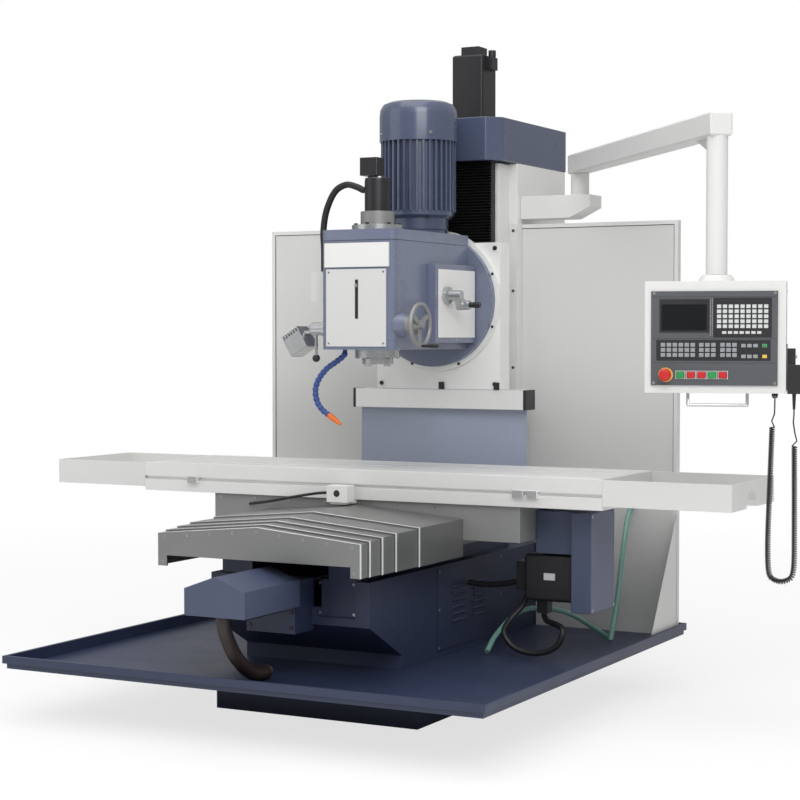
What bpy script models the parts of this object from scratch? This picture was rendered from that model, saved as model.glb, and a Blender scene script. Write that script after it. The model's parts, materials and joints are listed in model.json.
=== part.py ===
"""CNC bed milling machine with a swivelling vertical head, modelled piece by piece.

Metres, +Z up. The origin is on the floor under the spindle axis. +X runs along the table to the
operator's right, +Y runs from the operator to the column.
"""

import math

import bmesh
import bpy
from mathutils import Matrix, Vector

# Fits
GAP = 0.0005          # clearance between faces that seat or slide on each other
BORE_GAP = 0.001      # radial clearance of a shaft in its bore
SHEET = 0.003         # sheet metal of trays, wings and covers

# Bed casting
FOOT_HALF = 0.43
FOOT_FRONT = -0.49
FOOT_HEIGHT = 0.196
BED_HALF = 0.333
BED_FRONT = -0.67
BED_REAR = 1.26
BED_TOP = 0.545
PLINTH_FRONT = -0.428
PLINTH_TOP = 0.252
UNDERCUT_TOP = 0.382
WAY_INNER = 0.16
WAY_OUTER = 0.29
WAY_HEIGHT = 0.07
WAY_REAR = 0.60

# Side panel and drives
LOUVRE_REACH = 0.008      # pressed louvres stand this far out of the side panel
Y_COVER_LENGTH = 0.36
Y_COVER_HALF = 0.122
Y_COVER_LOW = 0.463
Y_COVER_EAVE = 0.556
Y_COVER_RIDGE = 0.600
Z_MOTOR_HEIGHT = 0.30
Z_ENCODER_HEIGHT = 0.037
Z_MOTOR_HALF = 0.0725

# Drip tray
TRAY_HALF = 0.976
TRAY_FRONT = -1.08
TRAY_REAR = 0.84
TRAY_RIM_TOP = 0.244
TRAY_LIP = 0.028
TRAY_INSET = 0.012

# Saddle and table
SADDLE_HALF = 0.67
SADDLE_FRONT = -0.135
SADDLE_REAR = 0.35
SADDLE_HEIGHT = 0.168
SADDLE_WING_DEPTH = 0.135
TABLE_LENGTH = 2.0
TABLE_FRONT = -0.151
TABLE_WIDTH = 0.50
TABLE_THICK = 0.114
T_SLOT_WIDTH = 0.018
T_SLOT_FOOT = 0.030
T_SLOT_DEPTH = 0.034
T_SLOT_PITCH = 0.125
T_SLOT_COUNT = 3
GUTTER_WIDTH = 0.030
GUTTER_DEPTH = 0.010
WING_LEFT = 0.44
WING_RIGHT = 0.482
WING_HEIGHT = 0.097

# Ball screws
SCREW_RADIUS = 0.020
X_SCREW_DROP = 0.060      # below the saddle's top
Y_SCREW_Z = 0.505
TROUGH_DEPTH = 0.10
Z_SCREW_Y = 0.672

# Telescopic way cover, front element first
COVER_FRONT = -0.889
COVER_HALF = 0.416
COVER_EAVE = 0.706
COVER_RISE = 0.038
COVER_BOTTOM = 0.588
COVER_STEP = 0.0055       # each element behind is this much larger all round
COVER_SHEET = 0.0025
COVER_LIP = 0.008
COVER_FLANGE = 0.038
COVER_PITCHES = (0.0565, 0.080, 0.090, 0.167)
COVER_LENGTH = 0.305

# Column, slide and head
COLUMN_HALF = 0.27
COLUMN_FRONT = 0.72
COLUMN_REAR = 1.23
COLUMN_TOP = 2.13
RAIL_INNER = 0.13
RAIL_OUTER = 0.235
RAIL_FRONT = 0.615
CAP_FRONT = 0.525
CAP_CHAMFER = 0.055
CAP_HEIGHT = 0.177
SLIDE_HALF = 0.285
SLIDE_FRONT = 0.52
SLIDE_BOTTOM = 1.192
SLIDE_TOP = 1.793
APRON_BAR_HALF = 0.40
APRON_BAR_HEIGHT = 0.080
APRON_HALF = 0.385
APRON_BOTTOM = 0.875
SWIVEL_Z = 1.557
SWIVEL_RING = 0.290
SWIVEL_DISC = 0.272
RING_THICK = 0.020
DISC_THICK = 0.030
HEAD_HALF = 0.162
HEAD_FRONT = -0.165
HEAD_BOTTOM = 1.36
HEAD_TOP = 1.82
HEAD_LID = 0.042
HEAD_CORNER = 0.030
QUILL_RADIUS = 0.0625
SPINDLE_RADIUS = 0.040
NOSE_FLANGE = 0.089
SLOT_LOW = 1.478
SLOT_HIGH = 1.628
MOTOR_Y = 0.347
MOTOR_RADIUS = 0.152
MOTOR_FIN_ROOT = 0.134
MOTOR_FINS = 36
GEAR_COVER_DEPTH = 0.036
GEAR_COVER_FRONT = 0.107
GEAR_COVER_LOW = 1.385
GEAR_COVER_HIGH = 1.695
GEAR_PLATE_MARGIN = 0.020
TERMINAL_TOP = 1.665
LEVER_PIVOT = (0.192, 1.572)
WHEEL_AXIS = (-0.118, 1.454)
WHEEL_RADIUS = 0.088
LAMP_PIVOT = (-0.262, 1.425)
LAMP_Y = -0.035

# Pendant
POST_X = 0.51
POST_Y = 0.82
POST_RADIUS = 0.038
ARM_BOTTOM = 2.085
ARM_SIZE = 0.080
PENDANT_X = 1.4775
PENDANT_Y = -0.318
PENDANT_WIDTH = 0.467
PENDANT_HEIGHT = 0.375
PENDANT_DEPTH = 0.150
PENDANT_BOTTOM = 1.222
PENDANT_TURN = 15.0       # degrees that the panel is turned towards the operator's right
BEZEL_WIDTH = 0.420
BEZEL_HEIGHT = 0.317
FLANGE_HEIGHT = 0.022
TUBE_RADIUS = 0.036
POST_HEIGHT = 0.090
MPG_WIDTH = 0.052
BUTTON_TRAVEL = 0.003
CURL_COUNT = 44
CURL_POINTS = 8
CURL_RADIUS = 0.0078
CORD_RADIUS = 0.0025

# Values worked out from the sizes above
TRAY_FLOOR = FOOT_HEIGHT + GAP
TRAY_TOP = TRAY_FLOOR + SHEET
PAN_HALF = TRAY_HALF - TRAY_INSET - SHEET
WAY_TOP = BED_TOP + WAY_HEIGHT
BRACKET_FRONT = BED_FRONT - 0.124
SADDLE_BOTTOM = WAY_TOP + GAP
SADDLE_TOP = SADDLE_BOTTOM + SADDLE_HEIGHT
TABLE_BOTTOM = SADDLE_TOP + GAP
TABLE_TOP = TABLE_BOTTOM + TABLE_THICK
TABLE_REAR = TABLE_FRONT + TABLE_WIDTH
TABLE_HALF = TABLE_LENGTH / 2
TABLE_MID = TABLE_FRONT + TABLE_WIDTH / 2
X_SCREW_Z = SADDLE_TOP - X_SCREW_DROP
CAP_BOTTOM = COLUMN_TOP + GAP
CAP_TOP = CAP_BOTTOM + CAP_HEIGHT
SLIDE_REAR = RAIL_FRONT - GAP
RING_FRONT = SLIDE_FRONT - RING_THICK
DISC_REAR = RING_FRONT - GAP
DISC_FRONT = DISC_REAR - DISC_THICK
QUILL_TOP = HEAD_TOP - HEAD_LID - 0.048
WHEEL_BOSS = HEAD_HALF + 0.038
ARM_ANGLE = math.atan2(PENDANT_Y - POST_Y, PENDANT_X - POST_X)
ARM_LENGTH = math.hypot(PENDANT_X - POST_X, PENDANT_Y - POST_Y)
PENDANT_TOP = PENDANT_BOTTOM + PENDANT_HEIGHT

COLOURS = {
    "blue": ((0.115, 0.140, 0.225), 0.42, 0.0),
    "pale_grey": ((0.66, 0.66, 0.65), 0.45, 0.0),
    "white": ((0.80, 0.80, 0.79), 0.40, 0.0),
    "steel": ((0.60, 0.60, 0.59), 0.28, 1.0),
    "dark_steel": ((0.20, 0.20, 0.20), 0.40, 1.0),
    "cast_grey": ((0.34, 0.34, 0.34), 0.50, 1.0),
    "black": ((0.020, 0.020, 0.022), 0.45, 0.0),
    "rubber": ((0.030, 0.028, 0.026), 0.70, 0.0),
    "panel": ((0.095, 0.097, 0.100), 0.50, 0.0),
    "red": ((0.65, 0.03, 0.02), 0.35, 0.0),
    "green": ((0.04, 0.20, 0.16), 0.35, 0.0),
    "hose_green": ((0.09, 0.30, 0.27), 0.35, 0.0),
    "hose_blue": ((0.010, 0.012, 0.14), 0.40, 0.0),
    "orange": ((0.85, 0.25, 0.03), 0.40, 0.0),
}


def new_collection(name):
    collection = bpy.data.collections.new(name)
    bpy.context.scene.collection.children.link(collection)
    return collection


for old in list(bpy.data.objects):
    bpy.data.objects.remove(old, do_unlink=True)
MACHINE = new_collection("milling_machine")
CUTTERS = new_collection("cutters")
CUTTERS.hide_render = True


def material(name):
    found = bpy.data.materials.get(name)
    if found:
        return found
    colour, roughness, metallic = COLOURS[name]
    made = bpy.data.materials.new(name)
    made.use_nodes = True
    shader = made.node_tree.nodes["Principled BSDF"]
    shader.inputs["Base Color"].default_value = (*colour, 1)
    shader.inputs["Roughness"].default_value = roughness
    shader.inputs["Metallic"].default_value = metallic
    made.diffuse_color = (*colour, 1)
    return made


def add_object(name, data, colour):
    """Links a mesh as a part, or as a hidden helper when it has no colour."""
    obj = bpy.data.objects.new(name, data)
    if colour is None:
        CUTTERS.objects.link(obj)
        obj.hide_render = True
        obj.display_type = "WIRE"
    else:
        MACHINE.objects.link(obj)
        data.materials.append(material(colour))
    return obj


def finished(name, bm, colour, smooth=False):
    bmesh.ops.recalc_face_normals(bm, faces=bm.faces[:])
    if bm.calc_volume(signed=True) < 0:
        bmesh.ops.reverse_faces(bm, faces=bm.faces[:])
    data = bpy.data.meshes.new(name)
    bm.to_mesh(data)
    bm.free()
    if smooth:
        data.shade_smooth()
        data.set_sharp_from_angle(angle=math.radians(40))
    return add_object(name, data, colour)


def box(name, low, high, colour=None, bevel=0.0, segments=2):
    bm = bmesh.new()
    bmesh.ops.create_cube(bm, size=1)
    low, high = Vector(low), Vector(high)
    bmesh.ops.scale(bm, vec=high - low, verts=bm.verts)
    bmesh.ops.translate(bm, vec=(low + high) / 2, verts=bm.verts)
    obj = finished(name, bm, colour)
    if bevel:
        rounding = obj.modifiers.new("rounded_edges", "BEVEL")
        rounding.width = bevel
        rounding.segments = segments
        rounding.limit_method = "ANGLE"
    return obj


def cylinder(name, centre, axis, radius, low, high, colour=None, sides=24, top_radius=None):
    """A cylinder or cone along a world axis between two values of that coordinate."""
    bm = bmesh.new()
    bmesh.ops.create_cone(
        bm, cap_ends=True, segments=sides, radius1=radius, radius2=top_radius or radius, depth=high - low
    )
    turn = {"X": Matrix.Rotation(math.pi / 2, 4, "Y"), "Y": Matrix.Rotation(-math.pi / 2, 4, "X")}
    place = Vector(centre)
    place["XYZ".index(axis)] = (low + high) / 2
    bmesh.ops.transform(bm, matrix=Matrix.Translation(place) @ turn.get(axis, Matrix()), verts=bm.verts)
    return finished(name, bm, colour, smooth=True)


def prism(name, outline, axis, low, high, colour=None):
    """A flat outline extruded along a world axis. Outline pairs are (y, z), (x, z) or (x, y)."""
    bm = bmesh.new()
    face = bm.faces.new([bm.verts.new((a, b, low)) for a, b in outline])
    made = bmesh.ops.extrude_face_region(bm, geom=[face])["geom"]
    lifted = [item for item in made if isinstance(item, bmesh.types.BMVert)]
    bmesh.ops.translate(bm, vec=(0, 0, high - low), verts=lifted)
    for vert in bm.verts:
        a, b, along = vert.co
        vert.co = {"X": (along, a, b), "Y": (a, along, b), "Z": (a, b, along)}[axis]
    return finished(name, bm, colour)


def turned(name, profile, centre, axis, colour=None, steps=24):
    """A profile of (radius, height) pairs, top to bottom, turned about a world axis."""
    bm = bmesh.new()
    points = [bm.verts.new((r, 0, h)) for r, h in profile]
    for a, b in zip(points, points[1:]):
        bm.edges.new((a, b))
    bmesh.ops.spin(
        bm, geom=bm.verts[:] + bm.edges[:], cent=(0, 0, 0), axis=(0, 0, 1), angle=2 * math.pi,
        steps=steps, use_duplicate=False,
    )
    bmesh.ops.remove_doubles(bm, verts=bm.verts, dist=1e-6)
    turn = {"X": Matrix.Rotation(math.pi / 2, 4, "Y"), "Y": Matrix.Rotation(-math.pi / 2, 4, "X")}
    bmesh.ops.transform(
        bm, matrix=Matrix.Translation(Vector(centre)) @ turn.get(axis, Matrix()), verts=bm.verts
    )
    return finished(name, bm, colour, smooth=True)


def smooth_route(points, count):
    """Evenly spread points along a smooth curve through the given ones."""
    knots = [Vector(p) for p in points]
    knots = [2 * knots[0] - knots[1], *knots, 2 * knots[-1] - knots[-2]]
    dense = []
    for a, b, c, d in zip(knots, knots[1:], knots[2:], knots[3:]):
        for i in range(24):
            t = i / 24
            square = (2 * a - 5 * b + 4 * c - d) * t**2
            cube = (3 * b - a - 3 * c + d) * t**3
            dense.append(0.5 * (2 * b + (c - a) * t + square + cube))
    dense.append(knots[-2])
    lengths = [0.0]
    for a, b in zip(dense, dense[1:]):
        lengths.append(lengths[-1] + (b - a).length)
    even = []
    k = 0
    for i in range(count):
        want = lengths[-1] * i / (count - 1)
        while k < len(lengths) - 2 and lengths[k + 1] < want:
            k += 1
        share = (want - lengths[k]) / (lengths[k + 1] - lengths[k])
        even.append(dense[k].lerp(dense[k + 1], share))
    return even


def tube(name, points, radius, colour, resolution=2, radii=None):
    """A round tube with filled ends along a list of points."""
    curve = bpy.data.curves.new(name, "CURVE")
    curve.dimensions = "3D"
    curve.bevel_depth = radius
    curve.bevel_resolution = resolution
    curve.use_fill_caps = True
    spline = curve.splines.new("POLY")
    spline.points.add(len(points) - 1)
    for i, (point, place) in enumerate(zip(spline.points, points)):
        point.co = (*place, 1)
        point.radius = radii[i] if radii else 1
    return add_object(name, curve, colour)


def combine(obj, operation, others):
    for other in others:
        step = obj.modifiers.new(operation.lower(), "BOOLEAN")
        step.operation = operation
        step.object = other
    return obj


def cut(obj, *others):
    return combine(obj, "DIFFERENCE", others)


def join(obj, *others):
    return combine(obj, "UNION", others)


def turn_about(objects, point, axis, degrees):
    """Turns finished pieces about a point, along with what is cut from them or joined to them."""
    spin = Matrix.Rotation(math.radians(degrees), 4, axis)
    place = Matrix.Translation(Vector(point))
    for obj in objects:
        obj.matrix_world = place @ spin @ place.inverted() @ obj.matrix_world
        turn_about([step.object for step in obj.modifiers if step.type == "BOOLEAN"], point, axis, degrees)


def mirrored(outline):
    """A half outline at +x, closed by its mirror image."""
    return outline + [(-x, z) for x, z in reversed(outline)]


# Bed, tray and Y ways
def make_bed():
    side_profile = [
        (PLINTH_FRONT, FOOT_HEIGHT - 0.01),
        (BED_REAR, FOOT_HEIGHT - 0.01),
        (BED_REAR, BED_TOP),
        (BED_FRONT, BED_TOP),
        (BED_FRONT, UNDERCUT_TOP),
        (PLINTH_FRONT, PLINTH_TOP),
    ]
    bed = prism("bed_casting", side_profile, "X", -BED_HALF, BED_HALF, "blue")
    foot = box("foot", (-FOOT_HALF, FOOT_FRONT, 0), (FOOT_HALF, BED_REAR, FOOT_HEIGHT))
    join(bed, foot)
    for side in (-1, 1):
        inner, outer = sorted((side * WAY_INNER, side * WAY_OUTER))
        join(bed, box("y_way", (inner, BED_FRONT + 0.01, BED_TOP - 0.01), (outer, WAY_REAR, WAY_TOP)))
    trough_low = (-WAY_INNER + 0.03, BED_FRONT - 0.01, BED_TOP - TROUGH_DEPTH)
    cut(bed, box("screw_trough", trough_low, (WAY_INNER - 0.03, WAY_REAR, BED_TOP + 0.01)))
    recess_low = (0.115, BED_FRONT - 0.01, UNDERCUT_TOP + 0.03)
    cut(bed, box("front_recess", recess_low, (BED_HALF - 0.06, BED_FRONT + 0.012, BED_TOP + 0.02)))
    bracket_low = (-0.10, BRACKET_FRONT, UNDERCUT_TOP - 0.02)
    join(bed, box("y_drive_bracket", bracket_low, (0.10, BED_FRONT + 0.01, BED_TOP + 0.005)))
    bore_radius = SCREW_RADIUS + BORE_GAP
    bore_ends = (BRACKET_FRONT + 0.03, BED_FRONT + 0.1)
    bore = cylinder("y_shaft_bore", (0, 0, Y_SCREW_Z), "Y", bore_radius, *bore_ends, sides=12)
    cut(bed, bore)


def make_side_panel():
    """Bolted cover with pressed louvres on the right side of the bed."""
    front, rear = -0.142, 0.428
    low, high = PLINTH_TOP - 0.03, BED_TOP - 0.012
    inner, outer = BED_HALF + GAP, BED_HALF + GAP + SHEET
    panel = box("bed_panel", (inner, front, low), (outer, rear, high), "blue")
    for column in range(2):
        for row in range(6):
            y = front + 0.17 + column * 0.19
            z = low + 0.10 + row * 0.026
            join(
                panel,
                cylinder(
                    "louvre", (outer + LOUVRE_REACH - 0.005, y, z), "Y", 0.005, y - 0.055, y + 0.055,
                    sides=8,
                ),
            )


def make_tray():
    edge = TRAY_INSET + SHEET
    tray = box(
        "drip_tray",
        (-PAN_HALF - SHEET, TRAY_FRONT + TRAY_INSET, TRAY_FLOOR),
        (PAN_HALF + SHEET, TRAY_REAR, TRAY_RIM_TOP),
        "blue",
    )
    rim = box(
        "tray_rim", (-TRAY_HALF, TRAY_FRONT, TRAY_RIM_TOP - TRAY_LIP),
        (TRAY_HALF, TRAY_REAR, TRAY_RIM_TOP),
    )
    inside = box(
        "tray_inside",
        (-PAN_HALF, TRAY_FRONT + edge, TRAY_TOP),
        (PAN_HALF, TRAY_REAR - SHEET, TRAY_RIM_TOP + 0.01),
    )
    bed_opening = box(
        "tray_opening",
        (-BED_HALF - 0.002, PLINTH_FRONT - 0.002, TRAY_FLOOR - 0.01),
        (BED_HALF + 0.002, TRAY_REAR + 0.01, TRAY_RIM_TOP + 0.01),
    )
    join(tray, rim)
    cut(tray, inside, bed_opening)


def make_y_drive():
    """Servo and its gabled cover at the front of the bed."""
    half, front = Y_COVER_HALF, BRACKET_FRONT - Y_COVER_LENGTH
    eave, ridge, low = Y_COVER_EAVE, Y_COVER_RIDGE, Y_COVER_LOW
    outline = [(half, low), (half, eave), (0.0, ridge), (-half, eave), (-half, low)]
    cover = prism("y_motor_cover", outline, "Y", front, BRACKET_FRONT - GAP, "blue")
    wall, below = half - SHEET, low - 0.01
    inner = [
        (wall, below), (wall, eave - SHEET), (0.0, ridge - SHEET), (-wall, eave - SHEET),
        (-wall, below),
    ]
    cut(cover, prism("cover_hollow", inner, "Y", front + SHEET, BRACKET_FRONT - 0.012))
    low_corner = (-0.065, BRACKET_FRONT - GAP - 0.26, Y_SCREW_Z - 0.065)
    high_corner = (0.065, BRACKET_FRONT - GAP, Y_SCREW_Z + 0.065)
    box("y_motor", low_corner, high_corner, "black", bevel=0.012)
    room_low = (-0.067, front + 0.02, low - 0.02)
    cut(cover, box("motor_room", room_low, (0.067, BRACKET_FRONT + 0.01, Y_SCREW_Z + 0.067)))


def make_y_screw():
    front, rear = BRACKET_FRONT + 0.032, WAY_REAR - 0.03
    cylinder("y_screw", (0, 0, Y_SCREW_Z), "Y", SCREW_RADIUS, front, rear, "steel", sides=12)


# Telescopic cover over the Y ways
def cover_outline(element, inset, low):
    """Gabled section of one element, moved inwards by an inset."""
    half = COVER_HALF + element * COVER_STEP - inset
    eave = COVER_EAVE + element * COVER_STEP - inset
    return [(half, low), (half, eave), (0.0, eave + COVER_RISE), (-half, eave), (-half, low)]


def make_way_cover():
    """Nested sheet elements: the front one is fixed to the bed, the last one to the saddle."""
    below = COVER_BOTTOM - 0.01
    front = COVER_FRONT
    for element in range(len(COVER_PITCHES) + 1):
        last = element == len(COVER_PITCHES)
        if element:
            front += COVER_PITCHES[element - 1]
        rear = SADDLE_FRONT - GAP if last else front + COVER_LENGTH
        shell = prism(
            f"way_cover_{element}", cover_outline(element, 0, COVER_BOTTOM), "Y", front, rear,
            "cast_grey",
        )
        inside = cover_outline(element, COVER_SHEET, below)
        cut(shell, prism("cover_inside", inside, "Y", front + COVER_LIP, rear + 0.01))
        if element:
            lip = cover_outline(element - 1, -GAP, below)
            cut(shell, prism("cover_lip", lip, "Y", front - 0.01, front + 2 * COVER_LIP))
            continue
        half = COVER_HALF - COVER_SHEET / 2
        window_half = COVER_HALF - COVER_FLANGE
        window_top = COVER_BOTTOM + COVER_FLANGE
        window = box(
            "end_window", (-window_half, front - 0.01, below),
            (window_half, front + 2 * COVER_LIP, window_top),
        )
        cut(shell, window)
        bridge = box(
            "cover_bridge", (-half, BED_FRONT + 0.015, WAY_TOP + GAP),
            (half, BED_FRONT + 0.035, WAY_TOP + 0.03),
        )
        join(shell, bridge)


# Saddle and X drive
def make_saddle():
    wing_bottom = SADDLE_TOP - SADDLE_WING_DEPTH
    outline = mirrored(
        [
            (WAY_OUTER + 0.085, SADDLE_BOTTOM), (WAY_OUTER + 0.085, wing_bottom),
            (SADDLE_HALF, wing_bottom), (SADDLE_HALF, SADDLE_TOP),
        ]
    )
    saddle = prism("saddle", outline, "Y", SADDLE_FRONT, SADDLE_REAR, "cast_grey")
    channel = box(
        "x_screw_channel",
        (-SADDLE_HALF - 0.01, TABLE_MID - 0.05, X_SCREW_Z - 0.035),
        (SADDLE_HALF + 0.01, TABLE_MID + 0.05, SADDLE_TOP + 0.01),
    )
    cut(saddle, channel)
    nut = box(
        "y_nut", (-0.045, TABLE_MID - 0.07, Y_SCREW_Z - 0.045),
        (0.045, TABLE_MID + 0.07, SADDLE_BOTTOM + 0.02),
    )
    join(saddle, nut)
    bearing = box(
        "x_screw_bearing",
        (-SADDLE_HALF + 0.02, TABLE_MID - 0.06, X_SCREW_Z - 0.045),
        (-SADDLE_HALF + 0.08, TABLE_MID + 0.06, SADDLE_TOP - 0.005),
    )
    join(saddle, bearing)
    bore = SCREW_RADIUS + BORE_GAP
    cut(
        saddle,
        cylinder("y_nut_bore", (0, 0, Y_SCREW_Z), "Y", bore, TABLE_MID - 0.1, TABLE_MID + 0.1, sides=12),
    )
    low, high = -SADDLE_HALF - 0.01, -SADDLE_HALF + 0.1
    cut(saddle, cylinder("bearing_bore", (0, TABLE_MID, X_SCREW_Z), "X", bore, low, high, sides=12))


def make_x_drive():
    housing_low, housing_high = 0.388, 0.720
    inner, outer = 0.83, 0.91
    front, rear = TABLE_MID - 0.13, TABLE_MID + 0.105
    bracket_front, bracket_rear = TABLE_MID - 0.09, TABLE_MID + 0.09
    outline = [
        (SADDLE_HALF + GAP, X_SCREW_Z - 0.125),
        (inner, X_SCREW_Z - 0.125),
        (inner, housing_low),
        (outer, housing_low),
        (outer, housing_high + 0.04),
        (SADDLE_HALF + GAP, housing_high + 0.04),
    ]
    housing = prism("x_drive_housing", outline, "Y", front, rear, "blue")
    trim_front = box(
        "trim", (SADDLE_HALF - 0.01, front - 0.01, housing_low - 0.01),
        (inner, bracket_front, housing_high + 0.1),
    )
    trim_rear = box(
        "trim", (SADDLE_HALF - 0.01, bracket_rear, housing_low - 0.01),
        (inner, rear + 0.01, housing_high + 0.1),
    )
    bore = cylinder(
        "x_bearing_bore", (0, TABLE_MID, X_SCREW_Z), "X", SCREW_RADIUS + BORE_GAP, SADDLE_HALF - 0.1,
        inner + 0.05, sides=12,
    )
    cut(housing, trim_front, trim_rear, bore)
    motor_half = 0.088
    motor_z = 0.505
    motor = box(
        "x_motor",
        (0.62, TABLE_MID - motor_half, motor_z - motor_half),
        (inner - GAP, TABLE_MID + motor_half, motor_z + motor_half),
        "black",
        bevel=0.014,
    )
    flange_half = 0.092
    join(
        motor,
        box(
            "motor_flange",
            (inner - GAP - 0.016, TABLE_MID - flange_half, motor_z - flange_half),
            (inner - GAP, TABLE_MID + flange_half, motor_z + flange_half),
        ),
        box(
            "encoder", (0.575, TABLE_MID - 0.055, motor_z - 0.055),
            (0.63, TABLE_MID + 0.055, motor_z + 0.055),
        ),
        box(
            "connector", (0.645, TABLE_MID - 0.02, motor_z - motor_half - 0.055),
            (0.69, TABLE_MID + 0.025, motor_z - 0.05),
        ),
    )
    cylinder(
        "x_screw", (0, TABLE_MID, X_SCREW_Z), "X", SCREW_RADIUS, -SADDLE_HALF + 0.03, inner + 0.03,
        "steel", sides=12,
    )


# Table and its drip wings
def make_table():
    table = box(
        "table", (-TABLE_HALF, TABLE_FRONT, TABLE_BOTTOM), (TABLE_HALF, TABLE_REAR, TABLE_TOP), "steel",
    )
    reach = TABLE_HALF + 0.01
    first = TABLE_MID - T_SLOT_PITCH * (T_SLOT_COUNT - 1) / 2
    for i in range(T_SLOT_COUNT):
        y = first + i * T_SLOT_PITCH
        neck, foot = T_SLOT_WIDTH / 2, T_SLOT_FOOT / 2
        floor, ceiling = TABLE_TOP - T_SLOT_DEPTH, TABLE_TOP - T_SLOT_DEPTH / 2
        outline = [
            (y - foot, floor), (y + foot, floor), (y + foot, ceiling), (y + neck, ceiling),
            (y + neck, TABLE_TOP + 0.01), (y - neck, TABLE_TOP + 0.01), (y - neck, ceiling),
            (y - foot, ceiling),
        ]
        cut(table, prism("t_slot", outline, "X", -reach, reach))
    rim = 0.012
    for edge in (TABLE_FRONT + rim, TABLE_REAR - rim - GUTTER_WIDTH):
        cut(
            table,
            box(
                "gutter", (-TABLE_HALF + rim, edge, TABLE_TOP - GUTTER_DEPTH),
                (TABLE_HALF - rim, edge + GUTTER_WIDTH, TABLE_TOP + 0.01),
            ),
        )
    dog_z = TABLE_TOP - 0.062
    cut(
        table,
        box(
            "dog_slot", (-reach, TABLE_FRONT - 0.01, dog_z - 0.006),
            (reach, TABLE_FRONT + 0.014, dog_z + 0.006),
        ),
    )
    for x in (-0.76, 0.673, 0.7285):
        join(
            table,
            box(
                "table_stop", (x - 0.022, TABLE_FRONT - 0.016, dog_z - 0.018),
                (x + 0.022, TABLE_FRONT + 0.02, dog_z + 0.012),
            ),
        )
    nut = box(
        "x_nut", (0.06, TABLE_MID - 0.044, X_SCREW_Z - 0.030),
        (0.20, TABLE_MID + 0.044, TABLE_BOTTOM + 0.01),
    )
    join(table, nut)
    cut(
        table,
        cylinder("x_nut_bore", (0, TABLE_MID, X_SCREW_Z), "X", SCREW_RADIUS + BORE_GAP, 0.0, 0.3, sides=12),
    )
    return table


def make_wings():
    top = TABLE_TOP - 0.002
    bottom = top - WING_HEIGHT
    for side, length, name in ((-1, WING_LEFT, "wing_left"), (1, WING_RIGHT, "wing_right")):
        near, far = TABLE_HALF + GAP, TABLE_HALF + GAP + length
        xs = sorted((side * near, side * far))
        wing = box(name, (xs[0], TABLE_FRONT, bottom), (xs[1], TABLE_REAR, top), "pale_grey")
        hollow = box(
            "wing_inside",
            (xs[0] + SHEET, TABLE_FRONT + SHEET, bottom + SHEET),
            (xs[1] - SHEET, TABLE_REAR - SHEET, top + 0.01),
        )
        cut(wing, hollow)
        if side > 0:
            mouth = cylinder(
                "wing_mouth", (0, TABLE_MID - 0.02, bottom + 0.004), "X", 0.062, far - 0.06, far + 0.02,
                sides=16,
            )
            cut(wing, mouth)


def make_limit_switch():
    """Switch block in front of the table's stops, on a bracket from the saddle."""
    left, right = -0.095, -0.005
    front, rear = TABLE_FRONT - 0.084, TABLE_FRONT - 0.024
    low = SADDLE_TOP - 0.006
    switch = box("limit_switch", (left, front, low), (right, rear, TABLE_TOP - 0.056), "pale_grey")
    reach = (right - 0.01, SADDLE_FRONT - GAP, SADDLE_TOP - 0.002)
    bracket = box("switch_bracket", (left + 0.01, front + 0.01, SADDLE_TOP - 0.014), reach)
    join(switch, bracket)


# Column, Z slide and their covers
def make_column():
    column = box(
        "column", (-COLUMN_HALF, COLUMN_FRONT, BED_TOP + GAP), (COLUMN_HALF, COLUMN_REAR, COLUMN_TOP),
        "pale_grey",
    )
    for side in (-1, 1):
        xs = sorted((side * RAIL_INNER, side * RAIL_OUTER))
        join(
            column,
            box(
                "z_rail", (xs[0], RAIL_FRONT, WAY_TOP + 0.02),
                (xs[1], COLUMN_FRONT + 0.02, COLUMN_TOP - 0.005),
            ),
        )
    shelf = box(
        "screw_shelf", (-0.06, Z_SCREW_Y - 0.05, WAY_TOP + 0.03),
        (0.06, COLUMN_FRONT + 0.02, WAY_TOP + 0.07),
    )
    join(column, shelf)
    cut(
        column,
        cylinder(
            "z_foot_bore", (0, Z_SCREW_Y, 0), "Z", SCREW_RADIUS + BORE_GAP, WAY_TOP + 0.05,
            WAY_TOP + 0.1, sides=12,
        ),
    )


def make_cap():
    """Blue belt cover on top of the column, its front corners cut off."""
    half, c = COLUMN_HALF, CAP_CHAMFER
    outline = [
        (half, COLUMN_REAR + 0.01), (-half, COLUMN_REAR + 0.01), (-half, CAP_FRONT + c),
        (-half + c, CAP_FRONT), (half - c, CAP_FRONT), (half, CAP_FRONT + c),
    ]
    cap = prism("column_cap", outline, "Z", CAP_BOTTOM, CAP_TOP, "blue")
    cut(
        cap,
        cylinder(
            "z_top_bore", (0, Z_SCREW_Y, 0), "Z", SCREW_RADIUS + BORE_GAP, CAP_BOTTOM - 0.01,
            CAP_BOTTOM + 0.06, sides=12,
        ),
    )


def make_z_drive():
    y, half = 0.867, Z_MOTOR_HALF
    low = CAP_TOP + GAP
    motor = box(
        "z_motor", (-half, y - half, low), (half, y + half, low + Z_MOTOR_HEIGHT), "black", bevel=0.012,
    )
    join(
        motor,
        box(
            "z_encoder", (-0.042, y - 0.042, low + Z_MOTOR_HEIGHT - 0.01),
            (0.042, y + 0.042, low + Z_MOTOR_HEIGHT + Z_ENCODER_HEIGHT),
        ),
    )
    cylinder(
        "z_screw", (0, Z_SCREW_Y, 0), "Z", SCREW_RADIUS, WAY_TOP + 0.052, CAP_BOTTOM + 0.04, "steel",
        sides=12,
    )


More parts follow.
